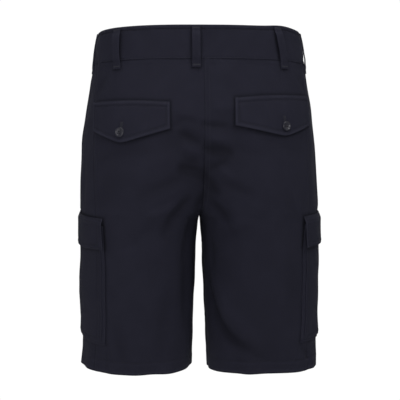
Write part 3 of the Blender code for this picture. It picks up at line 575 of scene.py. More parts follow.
def make_weave():
    """Twill ribs: height = ribs·(crossings softened) + slubs, from the UV place in metres. A rib is a sine
    across a slanting direction, nudged by slow noise, and along it each crossing is another sine."""
    group, given, result = new_group(
        "twill weave",
        [("Colour", "NodeSocketColor", (0.02, 0.02, 0.03, 1)),
         ("Paler colour", "NodeSocketColor", (0.03, 0.03, 0.04, 1)),
         ("Rib", "NodeSocketFloat", 0.0007), ("Mottle", "NodeSocketFloat", 0.12)],
        [("Colour", "NodeSocketColor"), ("Roughness", "NodeSocketFloat"), ("Height", "NodeSocketFloat")],
    )
    place_on_cloth = node(group, "ShaderNodeUVMap", uv_map="cloth").outputs[0]
    split = node(group, "ShaderNodeSeparateXYZ", {0: place_on_cloth})
    along, level = split.outputs[0], split.outputs[1]
    drift = clouds_in(group, place_on_cloth, 55, 2)
    slant = maths(group, "ADD", maths(group, "MULTIPLY", along, 0.84), maths(group, "MULTIPLY", level, 0.54))
    warp = maths(group, "SUBTRACT", maths(group, "MULTIPLY", level, 0.84),
                 maths(group, "MULTIPLY", along, 0.54))
    per_rib = maths(group, "DIVIDE", 6.2832, given.outputs["Rib"])
    phase = maths(group, "MULTIPLY_ADD", slant, per_rib, maths(group, "MULTIPLY", drift, 5.0))
    rib = maths(group, "SINE", phase)
    crossing = maths(group, "SINE", maths(group, "MULTIPLY", warp, maths(group, "MULTIPLY", per_rib, 0.72)))
    slub = clouds_in(group, place_on_cloth, 900, 2)
    weave = maths(group, "MULTIPLY_ADD", crossing, 0.22, maths(group, "MULTIPLY", rib, 0.45))
    height = maths(group, "MULTIPLY_ADD", slub, 0.9, weave)
    clouds = clouds_in(group, place_on_cloth, 42, 4)
    # The per-point attribute: above 0 the colour turns paler, where the cloth wears and where highlights are
    # painted; below 0 it darkens as painted shade.
    worn = node(group, "ShaderNodeAttribute", attribute_name="worn", attribute_type="GEOMETRY").outputs["Fac"]
    patchy = maths(group, "MULTIPLY_ADD", maths(group, "SUBTRACT", clouds, 0.5), 0.5, worn)
    paler_share = maths(group, "MAXIMUM", patchy, 0.0)
    mixed = between_colours(group, paler_share, given.outputs["Colour"], given.outputs["Paler colour"])
    speck = maths(group, "ADD", maths(group, "MULTIPLY", maths(group, "SUBTRACT", clouds, 0.5), 1.2),
                  maths(group, "MULTIPLY", maths(group, "SUBTRACT", slub, 0.5), 1.3))
    lit = maths(group, "MULTIPLY_ADD", rib, 0.28, speck)
    # Painted shade: the negative part of the attribute darkens the colour.
    painted_shade = maths(group, "MINIMUM", worn, 0.0)
    value = maths(group, "ADD", maths(group, "MULTIPLY_ADD", lit, given.outputs["Mottle"], 1.0), painted_shade)
    shaded = node(group, "ShaderNodeVectorMath", {0: mixed}, operation="SCALE")
    group.links.new(value, shaded.inputs["Scale"])
    group.links.new(shaded.outputs[0], result.inputs["Colour"])
    group.links.new(maths(group, "MULTIPLY_ADD", slub, 0.16, 0.74), result.inputs["Roughness"])
    group.links.new(height, result.inputs["Height"])
    return group


weave = make_weave()
SHEEN = {"Specular IOR Level": 0.15, "Sheen Weight": 0.03, "Sheen Roughness": 0.5,
         "Sheen Tint": (0.55, 0.58, 0.80, 1)}


def twill_cloth(name, colour, worn_colour, rib=0.00072, mottle=0.12, depth=0.00022):
    """Twill of a colour: the weave group gives its colour, roughness and height; the nap is a soft sheen."""
    paint, tree, shader = new_paint(name, SHEEN)
    given = {"Colour": (*colour, 1), "Paler colour": (*worn_colour, 1), "Rib": rib, "Mottle": mottle}
    pattern = node(tree, "ShaderNodeGroup", given, node_tree=weave)
    bump = node(tree, "ShaderNodeBump",
                {"Height": pattern.outputs["Height"], "Distance": depth, "Strength": 0.8})
    tree.links.new(pattern.outputs["Colour"], shader.inputs["Base Color"])
    tree.links.new(pattern.outputs["Roughness"], shader.inputs["Roughness"])
    tree.links.new(bump.outputs[0], shader.inputs["Normal"])
    return paint


# The paler navy is mixed in on edges that wear and where highlights are painted on.
NAVY = (0.0196, 0.0195, 0.0330)
NAVY_PALER = (0.0275, 0.0274, 0.0450)
twill = twill_cloth("navy_twill", NAVY, NAVY_PALER)

# The side seam lies behind the side of the leg, as (level, along).
SIDE_SEAM = ((0.045, 0.048), (-0.025, 0.053), (-0.085, 0.068), (-0.150, 0.087),
             (-0.250, 0.102), (-0.360, 0.095), (-0.510, 0.076))
FLY_LAP = 0.008
FLY_LIFT = 0.0032
FLY_LAP_ENDS = (-0.110, -0.135)
FLY_LIFT_ENDS = (-0.135, -0.160)
FLY_LIFT_REACH = (0.066, 0.036)
PANEL_MIDDLE = 0.205  # where the two parts of a panel's grid meet
PANEL_ROW_STEP = 0.0027
PANEL_STEP = {BACK: 0.0025, FRONT: 0.0031}  # the fronts are plainer, so their grid is wider
ALLOWANCE, ALLOWANCE_RISE = 0.0085, 0.00045  # the seam's folded edges under the cloth
DARTS = {LEFT: ((0.108, -0.028), (0.121, -0.080)), RIGHT: ((0.112, -0.028), (0.122, -0.072))}
WAIST_ALLOWANCE = 0.0058


def centre_lap(side, level):
    """How far the left front laps over the right one."""
    return FLY_LAP * ease(level, FLY_LAP_ENDS[1], FLY_LAP_ENDS[0]) * (side == LEFT)


def fly_lift(side, along, level):
    """How high the left front is lifted over the right one at the fly: an S curve towards the centre line."""
    if side == RIGHT:
        return np.zeros(along.shape)
    near = (along < 0) * ease(edge(level, FRONT) + along, *FLY_LIFT_REACH)
    return FLY_LIFT * near * ease(level, FLY_LIFT_ENDS[1], FLY_LIFT_ENDS[0])


def ridge(distance, width):
    """1 from a seam up to `width`, where the edge beneath ends, and 0 beyond."""
    return ease(distance, 0.0000, 0.0014) * (1 - ease(distance, width, width + 0.0016))


def panel_relief(side, face, along, level):
    """What the sewing does to a panel's outer face: it draws in at the seams, stands up over the edges
    beneath, ripples along the stitches, pinches at the dart and doubles at the hem."""
    from_side = np.abs(along - curve(SIDE_SEAM, level)) - HALF_GAP
    from_centre = edge(level, face) - np.abs(along)
    from_waist = WAIST_SEAM - level
    above_hem = level - HEM[side]
    height = groove(from_side, 0.0011, 0.0006) + pucker(from_side, level, 0.005, 0.00016)
    height += 0.0003 * ridge(from_waist, WAIST_ALLOWANCE) + pucker(from_waist, along, 0.010, 0.00020)
    if face == BACK:
        height += ALLOWANCE_RISE * ridge(from_side, ALLOWANCE)
        lower = 0.25 + 0.75 * ease(level, -0.085, -0.150)
        height += groove(from_centre, 0.0011, 0.0007) * lower + pucker(from_centre, level, 0.007, 0.00022)
        height += ALLOWANCE_RISE * ridge(from_centre, ALLOWANCE) * (side == RIGHT)
        (dart_along, dart_top), (point_along, point_level) = DARTS[side]
        share = np.clip((level - dart_top) / (point_level - dart_top), 0, 1)
        from_dart = np.abs(along - dart_along - (point_along - dart_along) * share)
        height += groove(from_dart, 0.0013, 0.0007) * (1 - ease(level, point_level + 0.012, point_level))
        height += 0.0005 * bell(from_dart, 0.006) * (1 - share)
    else:
        height += groove(from_centre, 0.0011, 0.0004) * ease(level, -0.140, -0.160)
        height += pucker(from_centre, level, 0.006, 0.00014) * ease(level, -0.130, -0.160)
    hem_band = 1 - ease(above_hem, HEM_TURN_UP - 0.0010, HEM_TURN_UP + 0.0006)
    height += 0.00035 * hem_band + groove(above_hem - HEM_TURN_UP + 0.0012, 0.0009, 0.00030)
    roping = np.sin((along + 0.8 * level) / 0.0016) + 0.6 * np.sin((along + 0.6 * level) / 0.0023 + side)
    height += 0.00013 * roping * bell(above_hem - HEM_TURN_UP, 0.011)
    return height


def panel_outside(side, face, along, level):
    """The height of a panel's outer face, with the lap at the fly."""
    return panel_relief(side, face, along, level) + fly_lift(side, along, level)


def stretched(places, start, middle, end):
    """Places fitted to the edges of each row: 0 becomes its start, 1 the middle and 2 its end."""
    first = start[:, None] + (middle - start[:, None]) * np.minimum(places, 1)[None, :]
    return first + (end[:, None] - middle) * np.maximum(places - 1, 0)[None, :]


def paint_edge_shadow(panel, beyond, reach, most):
    """Paint a shadow into the outer face of a piece of cloth where another one's edge would shade it: darker
    by most·exp(-(beyond/reach)²) of the distance beyond that edge, and wholly under it."""
    made, along, level = panel
    attribute = made.data.attributes["worn"]
    worn = np.empty(len(attribute.data), np.float32)
    attribute.data.foreach_get("value", worn)
    shade = most * bell(np.clip(beyond(along, level), 0, None), reach)
    worn[shade.size :] -= shade.ravel()
    attribute.data.foreach_set("value", worn)


panels, bands = {}, {}

for side, word in SIDES.items():
    bottom = HEM[side]
    rows = graded(WAIST_SEAM - HALF_GAP, bottom, PANEL_ROW_STEP, (
        (WAIST_SEAM, 0.0004, 0.010), (CROTCH + 0.004, 0.0006, 0.020),
        (bottom + HEM_TURN_UP, 0.0007, 0.010), (bottom, 0.0004, 0.006)))
    seam = curve(SIDE_SEAM, rows)
    inside = -CLOTH - (HEM_WALL - CLOTH) * (rows < bottom + HEM_TURN_UP)
    for face, word_face in ((BACK, "back"), (FRONT, "front")):
        if face == BACK:
            start, end = seam + HALF_GAP, edge(rows, BACK, SEWN_PAST)
            middle = PANEL_MIDDLE
        else:
            start, end = seam - HALF_GAP, -edge(rows, FRONT, SEWN_PAST) - centre_lap(side, rows)
            middle = -PANEL_MIDDLE
        widths = np.abs(middle - start).mean(), np.abs(end - middle).mean()
        dart = DARTS[side][0][0] + 0.006 - start.mean()
        first = graded(0, widths[0], PANEL_STEP[face], (
            (0, 0.0004, 0.010), (0.006, 0.0011, 0.010), (dart if face == BACK else 9, 0.0010, 0.018)))
        second = graded(0, widths[1], PANEL_STEP[face], ((widths[1], 0.0004, 0.012),))
        places = np.concatenate([first / widths[0], 1 + second[1:] / widths[1]])
        along = stretched(places, start, middle, end)
        level = np.broadcast_to(rows[:, None], along.shape)
        from_edges = least(np.abs(along - start[:, None]), np.abs(end[:, None] - along), level - bottom,
                           WAIST_SEAM - HALF_GAP - level)
        outside = panel_outside(side, face, along, level) - rounded(from_edges, 0.0008)
        lining = inside[:, None] + fly_lift(side, along, level) + rounded(from_edges, 0.0007)
        # Along the hem's bottom edge painted shade, and just above it a paler line, both wear and a painted
        # highlight; painted shade along every edge of the panel and along the hem's row of stitches, with a
        # painted highlight below that row; and the painted shading of the folds.
        above_hem = level - bottom
        worn = 0.50 * bell(above_hem - 0.0042, 0.0017) - 0.40 * bell(above_hem, 0.0018)
        worn = worn - 0.20 * bell(from_edges, 0.0016)
        worn = worn + 0.30 * bell(above_hem - HEM_TURN_UP + 0.003, 0.0016)
        worn = worn - 0.22 * bell(above_hem - HEM_TURN_UP, 0.0012) + painted_crease_shading(side, along, level)
        made = cloth(f"{word_face}_{word}_cloth", side, along, level, lining, outside, worn, twill)
        panels[side, face] = (made, along, level)
        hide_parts(f"{word_face}_{word}")

# Topstitching in navy polyester thread: three stitches to the centimetre, each drawn a little into the cloth.

THREAD_COLOURS = ((0.0130, 0.0130, 0.0210), (0.0310, 0.0310, 0.0450))
thread, tree, shader, _, twist = clouded_paint("navy_thread", {"Roughness": 0.55, "Specular IOR Level": 0.35},
                                               THREAD_COLOURS, 2600, 1)
bump = node(tree, "ShaderNodeBump", {"Height": twist, "Distance": 0.0001, "Strength": 0.6})
tree.links.new(bump.outputs[0], shader.inputs["Normal"])

STITCH_LENGTH, STITCH_PITCH, STITCH_RADIUS = 0.0024, 0.0031, 0.00023
STITCH_SIDES = 5
luck = np.random.default_rng(7)


def stitch_shape():
    """One stitch along x: three rings of a sagging rod, thinner at both ends, and a tip at each end."""
    turn = np.arange(STITCH_SIDES) * 2 * np.pi / STITCH_SIDES
    rings = [(x, r * np.cos(t), r * np.sin(t) + lift) for x, r, lift in
             ((-0.42, 0.8, -0.35), (0.0, 1.0, 0.15), (0.42, 0.8, -0.35)) for t in turn]
    points = np.array([*rings, (-0.5, 0, -0.9), (0.5, 0, -0.9)])
    here = np.arange(STITCH_SIDES)
    after = np.roll(here, -1)
    faces = []
    for low in (0, STITCH_SIDES):
        high = low + STITCH_SIDES
        faces += np.stack([here + low, here + high, after + high, after + low], axis=1).tolist()
    last = 2 * STITCH_SIDES
    faces += [[h, a, 3 * STITCH_SIDES] for h, a in zip(here, after)]
    faces += [[a + last, h + last, 3 * STITCH_SIDES + 1] for h, a in zip(here, after)]
    return points, faces


STITCH, STITCH_FACES = stitch_shape()


def repeated(shape, copies, points_each):
    """A shape's faces once for each of its copies, whose points follow one another."""
    return [[corner + points_each * k for corner in face] for k in range(copies) for face in shape]


def read_along(where, run, rows):
    """Rows of three numbers that stand at distances `run` along a path, read at other distances."""
    return np.stack([np.interp(where, run, rows[:, k]) for k in range(3)], axis=1)


def stitching(name, rows):
    """Rows of stitches as one object. A row is (side, along, level, height of the cloth's outer face) at
    places along its path. Stitches stand a pitch apart, and each copy of the shape is turned along the path,
    with small seeded changes of length, width and lean."""
    points = []
    for side, along, level, height in rows:
        path, up = place(side, along, level, height)
        run = np.concatenate([[0], np.cumsum(np.linalg.norm(np.diff(path, axis=0), axis=1))])
        number = int(run[-1] / STITCH_PITCH)
        at = (np.arange(number) + 0.5) * run[-1] / number
        half = STITCH_LENGTH / 2
        way = read_along(at + half, run, path) - read_along(at - half, run, path)
        way /= np.linalg.norm(way, axis=1, keepdims=True)
        across = np.cross(read_along(at, run, up), way)
        across /= np.linalg.norm(across, axis=1, keepdims=True)
        way = way + across * luck.normal(0, 0.045, (number, 1))
        long = STITCH_LENGTH * luck.normal(1, 0.04, (number, 1, 1))
        wide = STITCH_RADIUS * luck.normal(1, 0.06, (number, 1, 1))
        flat = across[:, None] * STITCH[None, :, 1:2] + np.cross(way, across)[:, None] * STITCH[None, :, 2:]
        middle = read_along(at, run, path)[:, None]
        copies = middle + way[:, None] * STITCH[None, :, :1] * long + flat * wide
        points.append(copies.reshape(-1, 3))
    points = np.concatenate(points)
    made = piece(name, points, repeated(STITCH_FACES, len(points) // len(STITCH), len(STITCH)), thread)


ROW_STEP = 0.0015


def steps_down(top, low):
    """Places from one level to another, a row step apart."""
    return np.linspace(top, low, int(abs(top - low) / ROW_STEP) + 2)


def panel_row(side, face, along, level):
    """A row of stitches on the outer face of a panel."""
    return side, along, level, panel_outside(side, face, along, level)


SIDE_ROW = 0.0022
SEAT_ROWS = (0.0020, 0.0080)
SEAM_ROW_FOOT = CROTCH + 0.004
ROW_TOP = WAIST_SEAM - 0.001
FLY_ROW, FLY_ROW_FOOT = 0.034, -0.146
FLY_BEND, FLY_BELOW = 0.030, 0.012  # it bends from this far above that foot to this far below it
HEM_PLACES, BAND_PLACES = 160, 330
for side, word in SIDES.items():
    bottom = HEM[side]
    rows = []
    level = steps_down(ROW_TOP, bottom + 0.001)
    along = curve(SIDE_SEAM, level) + HALF_GAP + SIDE_ROW
    rows.append(panel_row(side, BACK, along, level))
    for face in (BACK, FRONT):
        reach = edge(bottom + HEM_TURN_UP, face)
        seam = curve(SIDE_SEAM, bottom + HEM_TURN_UP)
        along = np.linspace(seam + face * 0.001, face * (reach - 0.001), HEM_PLACES)
        level = np.full(HEM_PLACES, bottom + HEM_TURN_UP)
        rows.append(panel_row(side, face, along, level))
    if side == RIGHT:
        for row in SEAT_ROWS:
            level = steps_down(ROW_TOP, SEAM_ROW_FOOT)
            along = edge(level, BACK) - row
            rows.append(panel_row(side, BACK, along, level))
    else:
        level = steps_down(FLY_ROW_FOOT - FLY_BELOW, SEAM_ROW_FOOT)
        along = -edge(level, FRONT) + SIDE_ROW
        rows.append(panel_row(side, FRONT, along, level))
        turn = np.linspace(0, np.pi / 2, 60)[1:]
        straight = steps_down(ROW_TOP, FLY_ROW_FOOT + FLY_BEND)
        bent = FLY_ROW_FOOT + FLY_BEND - (FLY_BEND + FLY_BELOW) * np.sin(turn)
        level = np.concatenate([straight, bent])
        from_centre = [np.full(len(straight), FLY_ROW), 0.001 + (FLY_ROW - 0.001) * np.cos(turn)]
        along = -edge(level, FRONT) + np.concatenate(from_centre)
        rows.append(panel_row(side, FRONT, along, level))
    stitching(f"stitches_{word}", rows)

# ---------------------------------------------------------------- the waistband
# A straight doubled band of the same twill, sewn to the panels' tops with one row of stitches close to the
# seam and one below its folded top edge. It is open in front, where its left end laps over the right one.

BAND_OUTSIDE = 0.0009
UNDERLAP = 0.030
BAND_TOP_ROW, BAND_LOW_ROW = 0.0068, 0.0018  # below the top edge, and above the seam


def band_sink(side, along, level):
    """The right half of the band sinks in beneath its side loop: a bell along and down."""
    near = bell(along - 0.031, 0.012) * bell(level + 0.0150, 0.0046)
    return (-0.0020 if side == RIGHT else 0.0) * near


def band_relief(along, level):
    """The band rolls out above its upper row of stitches and between the rows, and is drawn in at both."""
    from_top, from_seam = WAIST_TOP - level, level - WAIST_SEAM
    height = groove(from_top - BAND_TOP_ROW, 0.0012, 0.0007)
    height += groove(from_seam - BAND_LOW_ROW, 0.0010, 0.0004)
    height += 0.0004 * bell(from_top - 0.0035, 0.0028)
    between = np.sin(np.pi * np.clip((from_top - 0.007) / 0.040, 0, 1))
    height += between * 0.0007 * np.sin(along / 0.023 + 1.0)
    height += between * 0.0004 * np.sin(along / 0.0061 + level / 0.011)
    height += pucker(from_top - BAND_TOP_ROW, along, 0.0050, 0.00018)
    height += pucker(from_seam - BAND_LOW_ROW, along * 1.07, 0.0060, 0.00020)
    return height


band_rows = graded(WAIST_TOP, WAIST_SEAM, 0.0020, (
    (WAIST_TOP, 0.00030, 0.003), (WAIST_TOP - BAND_TOP_ROW, 0.00055, 0.005), (WAIST_SEAM, 0.0004, 0.006)))
for side, word in SIDES.items():
    start = -edge(band_rows, FRONT) - (UNDERLAP if side == RIGHT else FLY_LAP)
    end = edge(band_rows, BACK, SEWN_PAST)
    places = both_ends(0.0041, (0, 0.0012, 0.03))
    along = start[:, None] * (1 - places) + end[:, None] * places
    level = np.broadcast_to(band_rows[:, None], along.shape)
    lift = fly_lift(side, along, level) + band_sink(side, along, level)
    from_ends = least(along - start[:, None], end[:, None] - along)
    from_above = least(from_ends, WAIST_TOP - level)
    from_edges = least(from_above, level - WAIST_SEAM)
    outside = lift + BAND_OUTSIDE + band_relief(along, level) - rounded(from_above, 0.0012)
    outside -= rounded(level - WAIST_SEAM, 0.0007)
    inside = lift - CLOTH + rounded(from_edges, 0.0011)
    # Paler along the rolled top edge, which wears and also carries a painted highlight, and at the front ends,
    # which wear; painted shade along the upper row of stitches and along the waist seam.
    worn = 0.75 * bell(WAIST_TOP - level, 0.0018) + 0.35 * bell(from_ends, 0.002) * (along < 0)
    worn = worn - 0.30 * bell(WAIST_TOP - level - BAND_TOP_ROW, 0.0011)
    worn = worn - 0.12 * bell(level - WAIST_SEAM, 0.0010)
    made = cloth(f"waistband_{word}_cloth", side, along, level, inside, outside, worn, twill)
    bands[side] = (made, along, level)
    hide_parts(f"waistband_{word}")
    rows = []
    for row_level in (WAIST_TOP - BAND_TOP_ROW, WAIST_SEAM + BAND_LOW_ROW):
        start = -edge(row_level, FRONT) - (UNDERLAP if side == RIGHT else FLY_LAP)
        along = np.linspace(start + 0.003, edge(row_level, BACK) - 0.001, BAND_PLACES)
        level = np.full(BAND_PLACES, row_level)
        height = fly_lift(side, along, level) + BAND_OUTSIDE + band_relief(along, level)
        rows.append((side, along, level, height))
    stitching(f"waistband_{word}_stitches", rows)

# ---------------------------------------------------------------- the belt loops
# Seven narrow strips of folded twill, two rows of stitches along each. Both ends are turned under and held by
# dense zigzag bar tacks, the upper one on the band's edge and the lower one below the waist seam.

LOOP_WIDTH = 0.013
LOOP_CLOTH = 0.0017
# The loop's inner face, as (level, height): sewn flat at both ends, with room for a belt between.
LOOP_ARCH = ((0.0250, 0.0014), (0.0185, 0.0016), (0.0110, 0.0037), (-0.0080, 0.0045), (-0.0225, 0.0034),
             (-0.0310, 0.0009), (-0.0375, 0.0006))
LOOP_TOP, LOOP_FOOT = LOOP_ARCH[0][0], LOOP_ARCH[-1][0]
LOOP_FLAT = 0.0014  # higher than this the loop stands off
LOOP_ROW = 0.0035  # each row of stitches runs this far from the middle
TACK_IN, TACK_HALF_LENGTH = 0.0035, 0.0056  # how far the bar tacks are from the ends, and half their length
# Each loop's place is its distance from the centre line of its face, at its top and at its foot. The last two
# numbers are its share of the room for a belt, as the loops at the sides lie flatter, and the slack above its
# foot.
LOOPS = (
    ("loop_back", LEFT, BACK, 0.011, 0.011, 1.0, 0.0),
    ("loop_back_left", LEFT, BACK, 0.1335, 0.1335, 1.0, 0.0),
    ("loop_back_right", RIGHT, BACK, 0.116, 0.1275, 1.0, 0.0),
    ("loop_side_left", LEFT, BACK, 0.205, 0.205, 0.0, 0.0),
    ("loop_side_right", RIGHT, BACK, 0.194, 0.1970, 0.1, 0.0007),
    ("loop_front_left", LEFT, FRONT, 0.108, 0.108, 1.0, 0.0),
    ("loop_front_right", RIGHT, FRONT, 0.108, 0.108, 1.0, 0.0),
)


def loop_height(room, slack, level):
    """The loop's inner face: its arch, flattened by its share of the room for a belt, and a bell of slack."""
    arch = curve(LOOP_ARCH, level)
    flattened = np.minimum(arch, LOOP_FLAT + room * np.maximum(arch - LOOP_FLAT, 0))
    close = (1 - room) * (0.0005 + 0.0005 * ease(-level, 0.0225, 0.0310))
    return flattened - close + slack * bell(level + 0.0150, 0.0055)


BAR_WIDTH, BAR_RISE, BAR_THREAD = 0.0019, 0.00055, 0.00042


def bar_tack(name, side, start, end, height, width=BAR_WIDTH):
    """Dense satin stitches from one (along, level) place to another. Across them it is a flattened arch,
    sqrt(1 - (1.9u)^4), and along them a ripple of one wave for each thread."""
    (along_a, level_a), (along_b, level_b) = start, end
    run = np.array((along_b - along_a, level_b - level_a))
    length = np.hypot(*run)
    way = run / length
    v, u = np.meshgrid(np.linspace(0, 1, int(length / 0.00014)), np.linspace(-0.5, 0.5, 7), indexing="ij")
    along = along_a + run[0] * v + way[1] * width * u
    level = level_a + run[1] * v - way[0] * width * u
    threads = 0.8 + 0.2 * np.sin(2 * np.pi * length * v / BAR_THREAD)
    thickness = BAR_RISE * np.sqrt(np.clip(1 - (1.9 * u) ** 4, 0, 1)) * threads
    made = cloth(name, side, along, level, height - 0.0003, height + thickness, 0, thread)


for name, side, face, from_centre_top, from_centre_foot, room, slack in LOOPS:

    def middle_line(at_level):
        """Where the loop's middle is along the skin; it may lean from its top to its foot."""
        gone = (at_level - LOOP_TOP) / (LOOP_FOOT - LOOP_TOP)
        return face * (edge(at_level, face) - from_centre_top * (1 - gone) - from_centre_foot * gone)

    rows = graded(LOOP_TOP, LOOP_FOOT, 0.0014, ((LOOP_TOP, 0.0003, 0.003), (LOOP_FOOT, 0.0003, 0.004)))
    share = (rows - LOOP_TOP) / (LOOP_FOOT - LOOP_TOP)
    across = LOOP_WIDTH * (np.sin(np.linspace(-0.5, 0.5, 17) * np.pi) / 2)
    along = middle_line(rows)[:, None] + across[None, :] * (1 - 0.05 * np.sin(np.pi * share))[:, None]
    level = np.broadcast_to(rows[:, None], along.shape)
    arch = loop_height(room, slack, rows)[:, None]
    sides_in = LOOP_WIDTH / 2 - np.abs(across)[None, :]
    from_edges = least(sides_in, LOOP_TOP - level, level - LOOP_FOOT)
    relief = groove(sides_in - 0.0030, 0.0008, 0.00030) + 0.0002 * np.sin(np.pi * sides_in / 0.0065) ** 2
    tacks = bell(LOOP_TOP - TACK_IN - level, 0.0016) + bell(level - LOOP_FOOT - TACK_IN, 0.0016)
    outside = arch + LOOP_CLOTH + relief - 0.00035 * tacks - rounded(from_edges, 0.0006)
    worn = 0.5 * bell(sides_in, 0.0009) + 0.3 * bell(level - 0.012, 0.008)
    inside = arch + rounded(from_edges, 0.0004)
    made = cloth(f"{name}_cloth", side, along, level, inside, outside, worn, twill)

    def beyond_loop(at_along, at_level):
        """The distance beyond the loop's nearest side or end."""
        sideways = np.abs(at_along - middle_line(at_level)) - LOOP_WIDTH / 2
        return greatest(sideways, at_level - LOOP_TOP, LOOP_FOOT - at_level)

    # A painted shadow darkens the band and the panel beside the loop's sides and ends.
    for under in (bands[side], panels[side, face]):
        paint_edge_shadow(under, beyond_loop, 0.0028, 0.34)
    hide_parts(name)
    rows = []
    for out in (-1, 1):
        path = np.linspace(LOOP_TOP - 0.001, LOOP_FOOT + 0.001, 50)
        height = loop_height(room, slack, path) + LOOP_CLOTH - 0.0002
        rows.append((side, middle_line(path) + out * LOOP_ROW, path, height))
    stitching(f"{name}_stitches", rows)
    for word, at_level in (("top", LOOP_TOP - TACK_IN), ("foot", LOOP_FOOT + TACK_IN)):
        at = middle_line(at_level)
        start, end = (at - TACK_HALF_LENGTH, at_level), (at + TACK_HALF_LENGTH, at_level)
        base = loop_height(room, slack, at_level) + LOOP_CLOTH - 0.00045
        bar_tack(f"{name}_tack_{word}", side, start, end, base)

# ---------------------------------------------------------------- the back pocket flaps and their buttons
# Each back pocket shows only its flap: two layers of twill, turned and topstitched, sewn on along the top and
# coming to a blunt point. A worked buttonhole stands over the point, and a four-hole resin button closes it.

FLAP_CLOTH = 0.0018
FLAP_GAP = 0.0009
FLAP_PAST_SEAM = 0.002
BACK_FLAP_COLUMNS = ("side", "from_centre", "top_inner", "top_middle", "top_outer", "low_inner", "point",
                     "low_outer", "point_share", "button_from_centre", "button_level")
BACK_FLAPS = (
    (LEFT, 0.0510, -0.0855, -0.0828, -0.0830, -0.1222, -0.1410, -0.1250, 0.590, 0.1273, -0.1267),
    (RIGHT, 0.0455, -0.0798, -0.0755, -0.0740, -0.1180, -0.1320, -0.1170, 0.598, 0.1268, -0.1186),
)
POINT_ROUNDING = 0.0022
BUTTON_HOLDS = 0.014  # the button holds the flap down this far round it
FLAP_WIDE = 0.136
FLAP_ROWS = (0.0016, 0.0085)  # the rows of stitches below the top edge
FLAP_EDGE_ROW = 0.0062
FLAP_SLANT = 0.95  # the slanting lower edge is nearer than the drop to it, by this much
BUTTONHOLE = (0.0015, 0.0135)  # above the button's middle
BUTTONHOLE_BESIDE, BUTTONHOLE_END = 0.00115, 0.0021  # its two rows of stitches, and half the bar at its end

flap_twill = twill_cloth("navy_twill_flap", (0.0198, 0.0197, 0.0334), (0.0300, 0.0299, 0.0480))


def flap_top(flap, across):
    """The flap's upper edge, a curve through its two ends and its middle."""
    return curve(((0, flap["top_inner"]), (0.5, flap["top_middle"]), (1, flap["top_outer"])), across)


def pointed_edge(flap, across):
    """The flap's lower edge: two straight runs to a point, which a hyperbola between them rounds."""
    point = flap["point"] - POINT_ROUNDING
    falling = flap["low_inner"] + (point - flap["low_inner"]) * across / flap["point_share"]
    rising = flap["low_outer"] + (point - flap["low_outer"]) * (1 - across) / (1 - flap["point_share"])
    return (falling + rising) / 2 + np.hypot((falling - rising) / 2, POINT_ROUNDING)


def flap_places(flap, across, down):
    """Places on a flap, by its shares across from the inner end and down from the top edge."""
    top = flap_top(flap, across)
    level = top + (pointed_edge(flap, across) - top) * down
    inner = edge(level, BACK) - flap["from_centre"]
    outer = curve(SIDE_SEAM, level) + FLAP_PAST_SEAM
    return inner + (outer - inner) * across, level


def flap_height(flap, across, down):
    """The flap's outer face: flat where it is sewn on, easing off the seat towards its free edge, in at the
    rows of stitches and round the buttonhole, with a soft wave."""
    top = flap_top(flap, across)
    low = pointed_edge(flap, across)
    from_top, from_low = (top - low) * down, (top - low) * (1 - down)
    from_inner, from_outer = FLAP_WIDE * across, FLAP_WIDE * (1 - across)
    from_free = least(from_inner, from_outer, from_low * FLAP_SLANT)
    along, level = flap_places(flap, across, down)
    button_along = edge(flap["button_level"], BACK) - flap["button_from_centre"]
    to_button = np.hypot(along - button_along, level - flap["button_level"])
    lift = 0.0014 * down**2 * (1 - bell(to_button, BUTTON_HOLDS)) + 0.0009 * bell(across, 0.07) * down
    lift = lift + 0.0006 * np.sin(along / 0.0125 + flap["side"]) * down
    height = FLAP_GAP + FLAP_CLOTH + lift
    height += groove(from_top - FLAP_ROWS[0], 0.0009, 0.00035)
    height += groove(from_top - FLAP_ROWS[1], 0.0010, 0.00040)
    height += groove(from_free - FLAP_EDGE_ROW, 0.0010, 0.00035) + 0.0003 * bell(from_free - 0.003, 0.0022)
    height += pucker(from_top - FLAP_ROWS[1], along, 0.004, 0.00012)
    height += pucker(from_free - FLAP_EDGE_ROW, along + level, 0.004, 0.00012)
    hole_level = flap["button_level"] + sum(BUTTONHOLE) / 2
    hole = np.exp(-(((along - button_along) / 0.0030) ** 2) - np.abs((level - hole_level) / 0.0095) ** 4)
    height -= 0.0005 * hole
    return height, lift, least(from_free, from_top)


BACK_BUTTON = (0.0073, 0.0026)  # its radius and thickness
# The button's outline, in shares of its radius and its thickness: up round the rim, and down into the dish.
BUTTON_OUTLINE = ((0.80, 0.00), (0.94, 0.14), (1.00, 0.42), (0.995, 0.62), (0.96, 0.83), (0.90, 0.96),
                  (0.84, 1.00), (0.78, 0.97), (0.72, 0.86), (0.67, 0.72), (0.62, 0.62), (0.55, 0.57),
                  (0.45, 0.55), (0.35, 0.55), (0.25, 0.55), (0.15, 0.55), (0.07, 0.55))
BUTTON_SIDES = 48
HOLE_OUT, HOLE_RADIUS, HOLE_DEPTH = 0.27, 0.115, 0.38
# Three strands of thread run through each pair of holes, a little longer than they are apart.
STRANDS_APART, STRAND_RADIUS, STRAND_LONG, STRAND_TALL = 0.06, 0.0003, 1.12, 1.4
BACK_RINGS = 4  # the rings of the button's back, which the holes don't reach

RESIN_COLOURS = ((0.0150, 0.0150, 0.0245), (0.0310, 0.0310, 0.0460))
resin, tree, shader, spot, _ = clouded_paint("navy_resin", {"Coat Weight": 0.25, "Coat Roughness": 0.15},
                                             RESIN_COLOURS, 240, 3, Distortion=1.2)
grain = clouds_in(tree, spot, 1500, 2)
tree.links.new(maths(tree, "MULTIPLY_ADD", grain, 0.16, 0.25), shader.inputs["Roughness"])


